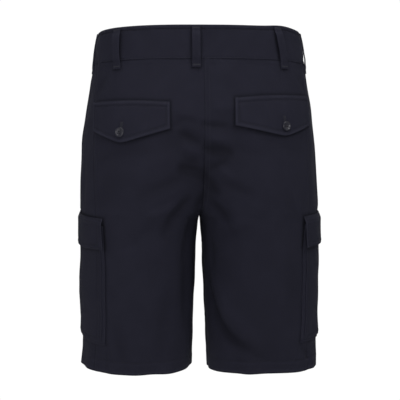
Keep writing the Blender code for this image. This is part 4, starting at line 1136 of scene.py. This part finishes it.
def button(node_name, side, along, level, height, radius, thickness, turned):
    """A turned four-hole button with its sewing thread. Its outline goes round the normal of the cloth;
    within the dish each of four holes is sunk by a steep bell about its middle."""
    (centre,), (normal,) = place(side, np.array([along]), np.array([level]), np.array([height]))
    right = np.cross((0, 0, 1), normal)
    right /= np.linalg.norm(right)
    up = np.cross(normal, right)
    turn = np.linspace(0, 2 * np.pi, BUTTON_SIDES, endpoint=False)
    outline = np.array(BUTTON_OUTLINE)
    rings = np.linspace(0, len(outline) - 1, 40)
    r = np.interp(rings, np.arange(len(outline)), outline[:, 0])[:, None]
    h = np.interp(rings, np.arange(len(outline)), outline[:, 1])[:, None] * np.ones((1, BUTTON_SIDES))
    x, y = r * np.cos(turn), r * np.sin(turn)
    spokes = turned + np.pi / 4 + np.arange(4) * np.pi / 2
    holes = HOLE_OUT * np.stack([np.cos(spokes), np.sin(spokes)], axis=1)
    for hole_x, hole_y in holes:
        to_hole = np.hypot(x - hole_x, y - hole_y) / HOLE_RADIUS
        h = h - HOLE_DEPTH * np.exp(-(to_hole**4)) * (rings[:, None] > BACK_RINGS)
    points = centre + radius * (x[..., None] * right + y[..., None] * up) + thickness * h[..., None] * normal
    points = np.concatenate([points.reshape(-1, 3), [centre, centre + thickness * outline[-1, 1] * normal]])
    here = np.arange(BUTTON_SIDES)
    after = np.roll(here, -1)
    band = np.stack([here, after, after + BUTTON_SIDES, here + BUTTON_SIDES], axis=1)
    faces = repeated(band.tolist(), len(rings) - 1, BUTTON_SIDES)
    last = (len(rings) - 1) * BUTTON_SIDES
    faces += [[a, b, len(points) - 2] for b, a in zip(here, after)]
    faces += [[b + last, a + last, len(points) - 1] for b, a in zip(here, after)]
    made = piece(f"{node_name}_resin", points, faces, resin)
    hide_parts(node_name)
    strands = []
    for offset in (-STRANDS_APART, 0, STRANDS_APART):
        for pair in ((3, 2), (0, 1)):
            ends = (holes[list(pair)] + offset * np.array((np.cos(turned), np.sin(turned)))) * radius
            middle, run = ends.mean(axis=0), ends[1] - ends[0]
            base = centre + right * middle[0] + up * middle[1] + normal * (thickness * 0.60 + 0.0001)
            way = (right * run[0] + up * run[1]) * STRAND_LONG
            beside = np.cross(normal, way / np.linalg.norm(way))
            flat = beside * STITCH[:, 1:2] + normal * STITCH[:, 2:] * STRAND_TALL
            strands.append(base + way * STITCH[:, :1] + flat * STRAND_RADIUS)
    faces = repeated(STITCH_FACES, len(strands), len(STITCH))
    made = piece(f"{node_name}_thread", np.concatenate(strands), faces, thread)


for row in BACK_FLAPS:
    flap = dict(zip(BACK_FLAP_COLUMNS, row))
    side, word = flap["side"], SIDES[flap["side"]]
    across = both_ends(0.0125, (0, 0.0035, 0.05), (0.052, 0.006, 0.03))
    down = graded(0, 1, 0.029, ((0, 0.008, 0.10), (1, 0.008, 0.12)))
    across, down = np.meshgrid(across, down)
    along, level = flap_places(flap, across, down)
    outside, lift, from_edges = flap_height(flap, across, down)
    inside = FLAP_GAP + lift + rounded(from_edges, 0.0008)
    # Paler just inside the edges, where the flap wears and a highlight is painted; painted shade on the very
    # edge and along the edge row of stitches.
    worn = 0.70 * bell(from_edges - 0.0022, 0.0016) - 0.45 * bell(from_edges, 0.0008)
    worn = worn - 0.25 * bell(from_edges - FLAP_EDGE_ROW, 0.0011)
    outside -= rounded(from_edges, 0.0009)
    made = cloth(f"back_flap_{word}_cloth", side, along, level, inside, outside, worn, flap_twill)

    def beyond_flap(at_along, at_level):
        """The distance beyond the flap's nearest edge."""
        at_inner = edge(at_level, BACK) - flap["from_centre"]
        at_outer = curve(SIDE_SEAM, at_level) + FLAP_PAST_SEAM
        share = np.clip((at_along - at_inner) / (at_outer - at_inner), 0, 1)
        return greatest(at_along - at_inner, at_outer - at_along, at_level - flap_top(flap, share),
                        pointed_edge(flap, share) - at_level)

    # A painted shadow darkens the back panel just outside the flap's edges.
    paint_edge_shadow(panels[side, BACK], beyond_flap, 0.0030, 0.42)
    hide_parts(f"back_flap_{word}")
    # Its rows of stitches: two below its top, one along its point and one at each end, as shares of the flap.
    t = np.linspace(0, 1, 90)
    deep = flap_top(flap, t) - pointed_edge(flap, t)
    inset_top, inset = FLAP_ROWS[0] / FLAP_WIDE, FLAP_EDGE_ROW / FLAP_WIDE
    a = inset_top + (1 - 2 * inset_top) * t
    rows = [(a, row_down / np.interp(a, t, deep)) for row_down in FLAP_ROWS]
    a = inset + (1 - 2 * inset) * t
    rows.append((a, 1 - FLAP_EDGE_ROW / FLAP_SLANT / np.interp(a, t, deep)))
    for a in (inset, 1 - inset):
        reach = np.interp(a, t, deep)
        d = np.linspace(FLAP_ROWS[1] / reach, 1 - FLAP_EDGE_ROW / FLAP_SLANT / reach, 40)
        rows.append((np.full(40, a), d))
    sewn = [(side, *flap_places(flap, a, d), flap_height(flap, a, d)[0]) for a, d in rows]
    stitching(f"back_flap_{word}_stitches", sewn)

    at_level = flap["button_level"]
    at_along = edge(at_level, BACK) - flap["button_from_centre"]
    low, high = at_level + BUTTONHOLE[0], at_level + BUTTONHOLE[1]
    base = FLAP_GAP + FLAP_CLOTH - 0.0004
    for part, out in (("inner", BUTTONHOLE_BESIDE), ("outer", -BUTTONHOLE_BESIDE)):
        start, end = (at_along + out, low), (at_along + out, high)
        bar_tack(f"buttonhole_{word}_{part}", side, start, end, base, width=0.0015)
    start, end = (at_along - BUTTONHOLE_END, high), (at_along + BUTTONHOLE_END, high)
    bar_tack(f"buttonhole_{word}_top", side, start, end, base + 0.0001, width=0.0014)
    button(f"back_button_{word}", side, at_along, at_level, FLAP_CLOTH + FLAP_GAP + SEAM_GAP, *BACK_BUTTON,
           0.2 * side)

# ---------------------------------------------------------------- the cargo pockets
# On the outside of each thigh sits a flat pocket on bellows: a folded strip round its back, bottom and front
# edges, sewn to the leg and to the pocket's face. A double flap, sewn on above, hangs over its open top.

CARGO_BACK = {
    LEFT: ((-0.250, 0.1125), (-0.300, 0.1095), (-0.449, 0.0975)),
    RIGHT: ((-0.250, 0.1060), (-0.300, 0.1030), (-0.350, 0.0975), (-0.400, 0.0945), (-0.449, 0.0935)),
}
CARGO_WIDTH = 0.165
CARGO_TOP, CARGO_BOTTOM = -0.264, -0.449
CARGO_DEPTH = CARGO_TOP - CARGO_BOTTOM
GUSSET_EDGE = 0.0018
# Across the strip, as (distance out from the face's edge, height): its edge, its stitched foot, its shoulder
# and the part beneath the face.
GUSSET_SECTION = ((0.0055, -0.0004), (0.0051, 0.0), (0.0045, 0.0002), (0.0036, 0.0), (0.0027, 0.0003),
                  (0.0020, 0.0008), (0.0015, 0.0011), (0.0009, 0.0010), (0.0, 0.0007), (-0.003, 0.0007),
                  (-0.006, 0.0007), (-0.009, 0.0006))
GUSSET_FOOT, GUSSET_ROW = 0.0055, 0.0036  # its outermost place and that of its stitches
CARGO_GAP = 0.0007
FACE_LOW, FACE_CLOTH = 0.0028, 0.0014
FACE_HIGH = FACE_LOW + FACE_CLOTH
CARGO_FLAP_COLUMNS = ("top", "low", "back_at_top", "back_at_low", "front")
CARGO_FLAPS = {
    LEFT: (-0.2525, -0.3035, 0.1175, 0.1170, -0.0625),
    RIGHT: (-0.2515, -0.2990, 0.1150, 0.1095, -0.0665),
}
CARGO_FLAP_WIDE, CARGO_FLAP_DEEP = 0.180, 0.050
CARGO_FLAP_CLOTH = 0.0018
CARGO_FLAP_OFF = {LEFT: 0.0002, RIGHT: 0.0016}
# Its lower back corner stands off, by this much and over this share of its width, and hangs this much higher.
CARGO_FLAP_OUT = {LEFT: (0.0012, 0.25), RIGHT: (0.0035, 0.30)}
CARGO_FLAP_CORNER = {LEFT: 0.0042, RIGHT: -0.0008}
CARGO_ROWS = (0.0018, 0.0075)  # both the face and the flap have two rows of stitches inside their edges


def cargo_along(side, across, level):
    """A place across the cargo pocket: 0 at its back edge, 1 at its front edge."""
    return curve(CARGO_BACK[side], level) - CARGO_WIDTH * across


# Soft folds in the pocket's face, as in the panels but by (across, down) shares of the face.
FACE_FOLDS = {
    LEFT: ((0.02, 0.16, 0.30, 0.42, 0.075, -0.0016), (0.00, 0.40, 0.16, 0.95, 0.060, -0.0012),
           (0.95, 0.20, 0.60, 0.50, 0.080, -0.0014), (0.30, 0.98, 0.62, 0.60, 0.090, 0.0012),
           (0.86, 0.55, 0.92, 0.98, 0.050, -0.0012)),
    RIGHT: ((0.02, 0.14, 0.24, 0.50, 0.070, -0.0014), (0.05, 0.97, 0.26, 0.74, 0.060, -0.0016),
            (0.97, 0.25, 0.66, 0.62, 0.080, -0.0015), (0.40, 0.20, 0.55, 0.85, 0.100, 0.0012),
            (0.70, 0.98, 0.88, 0.70, 0.060, -0.0012)),
}


def face_height(side, across, down):
    """The face's outer side: crowned by (sin·sin)^0.6, creased by its folds, in at its rows of stitches."""
    arch = np.sin(np.pi * (0.15 + 0.85 * np.clip(down, 0, 1)))
    crown = (np.sin(np.pi * np.clip(across, 0, 1)) * arch) ** 0.6
    height = FACE_HIGH + 0.0005 * crown
    for a_top, d_top, a_low, d_low, wide, rise in FACE_FOLDS[side]:
        run = np.array((a_low - a_top, d_low - d_top))
        length = np.hypot(*run)
        gone = np.clip(((across - a_top) * run[0] + (down - d_top) * run[1]) / length**2, 0, 1)
        off = ((across - a_top) * run[1] - (down - d_top) * run[0]) / length
        height += rise * np.sin(np.pi * gone) * bell(off, wide)
    from_edges = least(across * CARGO_WIDTH, (1 - across) * CARGO_WIDTH, (1 - down) * CARGO_DEPTH)
    for row in CARGO_ROWS:
        height += groove(from_edges - row, 0.0010, 0.00035)
        height += pucker(from_edges - row, across * CARGO_WIDTH + down * CARGO_DEPTH, 0.004, 0.00016)
    height += 0.0003 * bell(from_edges - 0.0045, 0.0022)
    return height, from_edges


def cargo_flap_height(side, across, down):
    """The flap's inner side: from the leg over the pocket's top edge, then standing off more and more towards
    its lower edge, most of all at the right flap's back corner, with a soft wave along the edge."""
    low = CARGO_GAP + FACE_HIGH * ease(down, 0.0, 0.23) + CARGO_FLAP_OFF[side] * down**2
    low = low + 0.0003 * bell(across - 0.5, 0.33) * ease(down, 0.1, 0.6)
    corner, share = CARGO_FLAP_OUT[side]
    low = low + corner * np.clip(1 - across / share, 0, 1) ** 2 * down**2
    return low + 0.0006 * np.sin(across * 11 + side) * down**2


for side, word in SIDES.items():
    # The bellows: how far out from the face's edge the strip's places are, and how high.
    out, rise = np.array(GUSSET_SECTION).T
    down_steps, over_steps = 120, 110
    side_levels = np.linspace(CARGO_TOP, CARGO_BOTTOM, down_steps + 1)[:-1]
    path_share = np.clip((np.arange(2 * down_steps + over_steps + 1) - down_steps) / over_steps, 0, 1)
    path_level = np.concatenate([side_levels, np.full(over_steps + 1, CARGO_BOTTOM), side_levels[::-1]])
    push_back = np.concatenate([np.ones(down_steps + 1), np.zeros(over_steps - 1), -np.ones(down_steps + 1)])
    push_down = (path_level == CARGO_BOTTOM).astype(float)
    level = path_level - out[:, None] * push_down
    along = cargo_along(side, path_share, level) + out[:, None] * push_back
    run = np.concatenate([[0], np.cumsum(np.hypot(np.diff(along[0]), np.diff(level[0])))])
    ripple = 0.0002 * np.sin(run / 0.0041) * np.sin(run / 0.0133)
    ripple = ripple + pucker(out[:, None] - 0.0038, run, 0.003, 0.00010)
    inside, outside = CARGO_GAP - 0.0002, GUSSET_EDGE + rise[:, None] + ripple
    worn = (0.4 * bell(out - GUSSET_FOOT, 0.0008) + 0.3 * bell(out - 0.0013, 0.0008))[:, None]
    made = cloth(f"cargo_gusset_{word}_cloth", side, along, level, inside, outside, worn, twill)
    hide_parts(f"cargo_gusset_{word}")

    def beyond_pocket(at_along, at_level):
        """The distance beyond the outer edge of the bellows."""
        behind = at_along - cargo_along(side, 0, at_level) - out.max()
        before = cargo_along(side, 1, at_level) - out.max() - at_along
        below = CARGO_BOTTOM - out.max() - at_level
        return greatest(behind, before, below, at_level - CARGO_TOP)

    # A painted shadow darkens the panels just outside the bellows.
    for face in (BACK, FRONT):
        paint_edge_shadow(panels[side, face], beyond_pocket, 0.0030, 0.20)
    pick = int(np.argmin(np.abs(out - GUSSET_ROW)))
    stitching(f"cargo_gusset_{word}_stitches", [(side, along[pick], level[pick], outside[pick])])

    # The face.
    across = both_ends(0.0125, (0, 0.0028, 0.03), (0.043, 0.006, 0.02))
    down = graded(0, 1, 0.0115, ((1, 0.0028, 0.03), (0.962, 0.005, 0.02), (0, 0.005, 0.03)))
    across, down = np.meshgrid(across, down)
    level = CARGO_TOP - CARGO_DEPTH * down
    along = cargo_along(side, across, level)
    outside, from_edges = face_height(side, across, down)
    inside = outside - FACE_CLOTH
    from_any = least(from_edges, down * CARGO_DEPTH)
    # Paler at the edges, where the face wears; painted shade along both rows of stitches.
    worn = 0.6 * bell(from_any, 0.0013)
    for row in CARGO_ROWS:
        worn = worn - 0.22 * bell(from_edges - row, 0.0010)
    made = cloth(f"cargo_pocket_{word}_cloth", side, along, level, inside + rounded(from_any, 0.0006),
                 outside - rounded(from_any, 0.0008), worn, twill)
    face_made = (made, along, level)
    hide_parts(f"cargo_pocket_{word}")
    sewn = []
    for row in CARGO_ROWS:
        inset_a, inset_d = row / CARGO_WIDTH, row / CARGO_DEPTH
        downward = np.linspace(0, 1 - inset_d, 100)
        a = [np.full(100, inset_a), np.linspace(inset_a, 1 - inset_a, 90), np.full(100, 1 - inset_a)]
        a, d = np.concatenate(a), np.concatenate([downward, np.full(90, 1 - inset_d), downward[::-1]])
        row_level = CARGO_TOP - CARGO_DEPTH * d
        sewn.append((side, cargo_along(side, a, row_level), row_level, face_height(side, a, d)[0]))
    stitching(f"cargo_pocket_{word}_stitches", sewn)

    # The flap.
    across = both_ends(0.0105, (0, 0.0026, 0.03), (0.042, 0.0055, 0.02))
    down = graded(0, 1, 0.028,
                  ((0, 0.009, 0.06), (1, 0.009, 0.06), (0.157, 0.018, 0.05), (0.845, 0.018, 0.05)))
    across, down = np.meshgrid(across, down)
    flap = dict(zip(CARGO_FLAP_COLUMNS, CARGO_FLAPS[side]))

    def flap_spot(a, d):
        """Along and level of a place on the cargo flap: across from its back edge and down from its top."""
        back = flap["back_at_top"] + (flap["back_at_low"] - flap["back_at_top"]) * d
        raised = CARGO_FLAP_CORNER[side] * bell(a, 0.22) * d
        return back + (flap["front"] - back) * a, flap["top"] + (flap["low"] - flap["top"]) * d + raised

    def flap_outside(a, d):
        """The cargo flap's outer side, in at its rows of stitches, and the distance from its nearest edge."""
        from_all = least(least(a, 1 - a) * CARGO_FLAP_WIDE, least(d, 1 - d) * CARGO_FLAP_DEEP)
        height = cargo_flap_height(side, a, d) + CARGO_FLAP_CLOTH
        for row in CARGO_ROWS:
            height = height + groove(from_all - row, 0.0010, 0.00035)
            height += pucker(from_all - row, a * CARGO_FLAP_WIDE + d * CARGO_FLAP_DEEP, 0.004, 0.00015)
        return height + 0.0003 * bell(from_all - 0.0045, 0.0022), from_all

    along, level = flap_spot(across, down)
    outside, from_all = flap_outside(across, down)
    inside = cargo_flap_height(side, across, down)
    # Paler at the edges, where the flap wears; painted shade along both rows of stitches.
    worn = 0.65 * bell(from_all, 0.0014)
    for row in CARGO_ROWS:
        worn = worn - 0.22 * bell(from_all - row, 0.0010)
    made = cloth(f"cargo_flap_{word}_cloth", side, along, level, inside + rounded(from_all, 0.0008),
                 outside - rounded(from_all, 0.0009), worn, flap_twill)

    def beyond_cargo_flap(at_along, at_level):
        """The distance beyond the cargo flap's nearest edge."""
        gone = np.clip((flap["top"] - at_level) / (flap["top"] - flap["low"]), 0, 1)
        back = flap["back_at_top"] + (flap["back_at_low"] - flap["back_at_top"]) * gone
        share = np.clip((back - at_along) / CARGO_FLAP_WIDE, 0, 1)
        low = flap["low"] + CARGO_FLAP_CORNER[side] * bell(share, 0.22)
        return greatest(at_along - back, flap["front"] - at_along, at_level - flap["top"], low - at_level)

    # A painted shadow darkens the pocket's face and the panels just outside the cargo flap's edges.
    paint_edge_shadow(face_made, beyond_cargo_flap, 0.0040, 0.55)
    for face in (BACK, FRONT):
        paint_edge_shadow(panels[side, face], beyond_cargo_flap, 0.0034, 0.45)
    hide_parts(f"cargo_flap_{word}")
    sewn = []
    for row in CARGO_ROWS:
        inset_a, inset_d = row / CARGO_FLAP_WIDE, row / CARGO_FLAP_DEEP
        sideways, downward = np.linspace(inset_a, 1 - inset_a, 100), np.linspace(inset_d, 1 - inset_d, 30)
        a = np.concatenate([np.full(30, inset_a), sideways, np.full(30, 1 - inset_a), sideways[::-1]])
        d = np.concatenate([downward, np.full(100, 1 - inset_d), downward[::-1], np.full(100, inset_d)])
        sewn.append((side, *flap_spot(a, d), flap_outside(a, d)[0]))
    stitching(f"cargo_flap_{word}_stitches", sewn)

# ---------------------------------------------------------------- the fly's zip and the waist button
# A metal zip on woven tape closes the fly, behind the lap of the left front. Its slider, with a small tab, is
# drawn up to the top of the chain. A larger button of the same resin holds the waistband's ends together.

ZIP_TOP, ZIP_FOOT = -0.030, -0.128
TAPE_CLOTH = 0.0008
TAPE_TOP = -CLOTH - SEAM_GAP
CHAIN_MIDDLE = 0.0060
SLIDER_LENGTH, SLIDER_HALF_WIDTH = 0.010, 0.0040
TAB_TOP, TAB_NECK, TAB_FOOT = ZIP_TOP - 0.0045, ZIP_TOP - 0.005, ZIP_TOP - 0.0165
TAB_HALF_WIDTH, TAB_LIFT = 0.0021, 0.0014
TOOTH_PITCH, TOOTH_BESIDE = 0.0016, 0.0008

zip_tape = twill_cloth("zip_tape", (0.0130, 0.0130, 0.0200), (0.0180, 0.0180, 0.0260), rib=0.0009,
                       mottle=0.10)
# Places across the tape, with a bead of cord in its middle that the teeth sit on.
out = np.array((-0.0100, -0.0096, -0.006, -0.002, 0.002, 0.0032, 0.0038, 0.006, 0.0082, 0.0088, 0.010,
                0.014, 0.018, 0.0216, 0.0220))
rows = np.linspace(ZIP_TOP, ZIP_FOOT, 70)
along = out[None, :] - edge(rows, FRONT)[:, None]
level = np.broadcast_to(rows[:, None], along.shape)
bead = 0.0004 * np.exp(-(((out - CHAIN_MIDDLE) / 0.0024) ** 4))[None, :]
made = cloth("fly_zip_tape", LEFT, along, level, TAPE_TOP - TAPE_CLOTH, TAPE_TOP + bead, 0, zip_tape)
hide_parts("fly_zip")

METAL_COLOURS = ((0.060, 0.058, 0.056), (0.150, 0.146, 0.140))
metal, tree, shader, _, tarnish = clouded_paint("dark_zip_metal", {"Metallic": 1.0}, METAL_COLOURS, 700, 3)
tree.links.new(maths(tree, "MULTIPLY_ADD", tarnish, 0.30, 0.22), shader.inputs["Roughness"])


def blocks(spots, ways, rises, half_long, half_wide, low, high, bevel):
    """Many small blocks with bevelled tops, each at its spot, with its way along and its rise."""
    across = np.cross(rises, ways)
    across /= np.linalg.norm(across, axis=1, keepdims=True)
    corners = ((-1, -1), (1, -1), (1, 1), (-1, 1))
    levels = ((1.0, low), (1.0, high - bevel), (1.0 - bevel / half_wide, high))
    local = np.array([(x * half_long * scale, y * half_wide * scale, z)
                      for scale, z in levels for x, y in corners])
    points = (spots[:, None] + ways[:, None] * local[None, :, :1] + across[:, None] * local[None, :, 1:2]
              + rises[:, None] * local[None, :, 2:]).reshape(-1, 3)
    shape = [[3, 2, 1, 0], [8, 9, 10, 11]]
    for base in (0, 4):
        shape += [[base + k, base + (k + 1) % 4, base + 4 + (k + 1) % 4, base + 4 + k] for k in range(4)]
    return points, repeated(shape, len(spots), len(local))


tooth_levels = np.arange(ZIP_TOP - SLIDER_LENGTH, ZIP_FOOT + 0.004, -TOOTH_PITCH / 2)
hand = np.where(np.arange(len(tooth_levels)) % 2, 1, -1)
tooth_along = CHAIN_MIDDLE + hand * TOOTH_BESIDE - edge(tooth_levels, FRONT)
spots, rises = place(LEFT, tooth_along, tooth_levels, TAPE_TOP)
ways, _ = place(LEFT, tooth_along, tooth_levels - 0.001, TAPE_TOP)
ways = (ways - spots) / np.linalg.norm(ways - spots, axis=1, keepdims=True)
points, faces = blocks(spots, ways, rises, 0.00048, 0.0016, -0.0009, 0.0013, 0.0003)
made = piece("fly_zip_teeth", points, faces, metal)

slider_rows = np.linspace(ZIP_TOP, ZIP_TOP - SLIDER_LENGTH, 25)
u = np.linspace(-1, 1, 17)
narrowing = 1 - 0.28 * ease(slider_rows, ZIP_TOP - 0.002, ZIP_TOP - SLIDER_LENGTH)
along = CHAIN_MIDDLE + SLIDER_HALF_WIDTH * u[None, :] * narrowing[:, None] - edge(slider_rows, FRONT)[:, None]
level = np.broadcast_to(slider_rows[:, None], along.shape)
from_ends = least(slider_rows.max() - level, level - slider_rows.min())
from_edges = least(from_ends, SLIDER_HALF_WIDTH * (1 - np.abs(u))[None, :])
bridge = 0.0005 * np.exp(-((u / 0.30) ** 4))[None, :] * np.sin(np.pi * from_ends / SLIDER_LENGTH)
made = cloth("zip_slider_body", LEFT, along, level, 0.0001 + rounded(from_edges, 0.0003),
             0.0013 + bridge - rounded(from_edges, 0.0004), 0, metal)
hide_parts("zip_slider")
tab_rows = np.linspace(TAB_TOP, TAB_FOOT, 22)
half = TAB_HALF_WIDTH * (1 - 0.35 * ease(tab_rows, ZIP_TOP - 0.009, TAB_NECK))
along = CHAIN_MIDDLE + half[:, None] * u[None, :] - edge(tab_rows, FRONT)[:, None]
level = np.broadcast_to(tab_rows[:, None], along.shape)
from_edges = least(tab_rows.max() - level, level - tab_rows.min(), half[:, None] * (1 - np.abs(u))[None, :])
lift = TAB_LIFT * ease(level, ZIP_TOP - 0.010, TAB_NECK)
made = cloth("zip_slider_tab", LEFT, along, level, lift - 0.00005,
             lift + 0.0006 - rounded(from_edges, 0.0002), 0, metal)

WAIST_BUTTON = (0.0085, 0.0032)  # its radius and thickness
button_along = 0.003 - edge(0.0, FRONT)
button("waist_button", LEFT, button_along, 0.0, FLY_LIFT + BAND_OUTSIDE + SEAM_GAP, *WAIST_BUTTON, 0.4)
base = FLY_LIFT + BAND_OUTSIDE - 0.0004
for part, out in (("upper", 0.0012), ("lower", -0.0012)):
    start, end = (button_along - 0.0015, out), (button_along + 0.0165, out)
    bar_tack(f"waist_buttonhole_{part}", LEFT, start, end, base, width=0.0015)

# ---------------------------------------------------------------- stage, light and camera
# A plain pale floor a metre below the waist, soft light from above the camera and weaker light around it.

WHITE, FLOOR_GREY = (1, 1, 1, 1), (0.62, 0.62, 0.63, 1)
SEEN_WHITE = 1.02  # how bright the floor and the space behind look to the camera
floor_paint, floor_tree, floor_shader = new_paint("pale_floor", {"Base Color": FLOOR_GREY, "Roughness": 0.9})
FLOOR_LEVEL = -1.0
FLOOR_HALF = 60.0
floor_points = np.array([(-1, -1, 0), (1, -1, 0), (1, 1, 0), (-1, 1, 0)]) * FLOOR_HALF + (0, 0, FLOOR_LEVEL)
floor_mesh = bpy.data.meshes.new("floor")
floor_mesh.from_pydata(floor_points.tolist(), [], [(0, 1, 2, 3)])
floor_mesh.materials.append(floor_paint)
floor = in_scene("floor", floor_mesh)


def white_to_camera(tree, kind, around):
    """White where the camera looks, of a kind of shader, and `around` for all the light that bounces."""
    seen = node(tree, "ShaderNodeLightPath").outputs["Is Camera Ray"]
    white = node(tree, kind, {"Color": WHITE, "Strength": SEEN_WHITE}).outputs[0]
    return node(tree, "ShaderNodeMixShader", {0: seen, 1: around, 2: white}).outputs[0]


mixed = white_to_camera(floor_tree, "ShaderNodeEmission", floor_shader.outputs[0])
floor_tree.links.new(mixed, floor_tree.nodes["Material Output"].inputs["Surface"])

world = bpy.data.worlds.new("studio")
world.use_nodes = True
bpy.context.scene.world = world
sky_tree = world.node_tree
sky_tree.nodes.clear()
AMBIENT = 0.03
around = node(sky_tree, "ShaderNodeBackground", {"Color": WHITE, "Strength": AMBIENT}).outputs[0]
mixed = white_to_camera(sky_tree, "ShaderNodeBackground", around)
node(sky_tree, "ShaderNodeOutputWorld", {"Surface": mixed})
bpy.context.scene.view_settings.view_transform = "Standard"

# Softboxes: name, place, half-size of the square, watts. Each faces the middle of the shorts.
LIGHTS = (
    ("near_camera", (0.3, 2.9, 0.4), 0.30, 20.0),
    ("high_right", (-1.3, 1.4, 2.2), 0.35, 16.0),
    ("top", (0.0, 0.3, 2.2), 0.80, 23.0),
    ("side_right", (-2.2, 1.2, 1.2), 0.80, 7.0),
    ("fill_left", (1.8, 2.2, 0.1), 0.90, 8.0),
    ("side_left", (2.6, 0.1, 0.2), 0.80, 5.0),
    ("low_left", (1.3, 2.3, -0.6), 0.80, 5.0),
    ("front_key", (0.7, -2.5, 1.6), 0.80, 27.0),
    ("front_fill", (-0.9, -2.6, 0.2), 0.90, 16.0),
)
MIDDLE = Vector((0.0, 0.0, -0.24))
for name, spot, half, watts in LIGHTS:
    lamp = bpy.data.lights.new(name, "AREA")
    lamp.shape = "SQUARE"
    lamp.size = 2 * half
    lamp.energy = watts
    holder = in_scene(name, lamp)
    holder.location = spot
    holder.rotation_euler = (MIDDLE - Vector(spot)).to_track_quat("-Z", "Y").to_euler()

CAMERA_TARGET = Vector((-0.0024, 0.0, -0.2363))
CAMERA_DISTANCE, CAMERA_HEIGHT = 1.750, 0.18  # from its target, and above it
CAMERA_TURN = np.radians(4.0)  # round from straight behind, towards the wearer's left
CAMERA_RISE = np.arcsin(CAMERA_HEIGHT / CAMERA_DISTANCE)
level_share = np.cos(CAMERA_RISE)
way_back = Vector((np.sin(CAMERA_TURN) * level_share, np.cos(CAMERA_TURN) * level_share, np.sin(CAMERA_RISE)))
FOCAL_LENGTH, SENSOR_WIDTH = 97.2, 36.0  # in millimetres
lens = bpy.data.cameras.new("camera")
lens.lens, lens.sensor_width = FOCAL_LENGTH, SENSOR_WIDTH
camera = in_scene("camera", lens)
camera.location = CAMERA_TARGET + CAMERA_DISTANCE * way_back
camera.rotation_euler = (-way_back).to_track_quat("-Z", "Y").to_euler()
bpy.context.scene.camera = camera
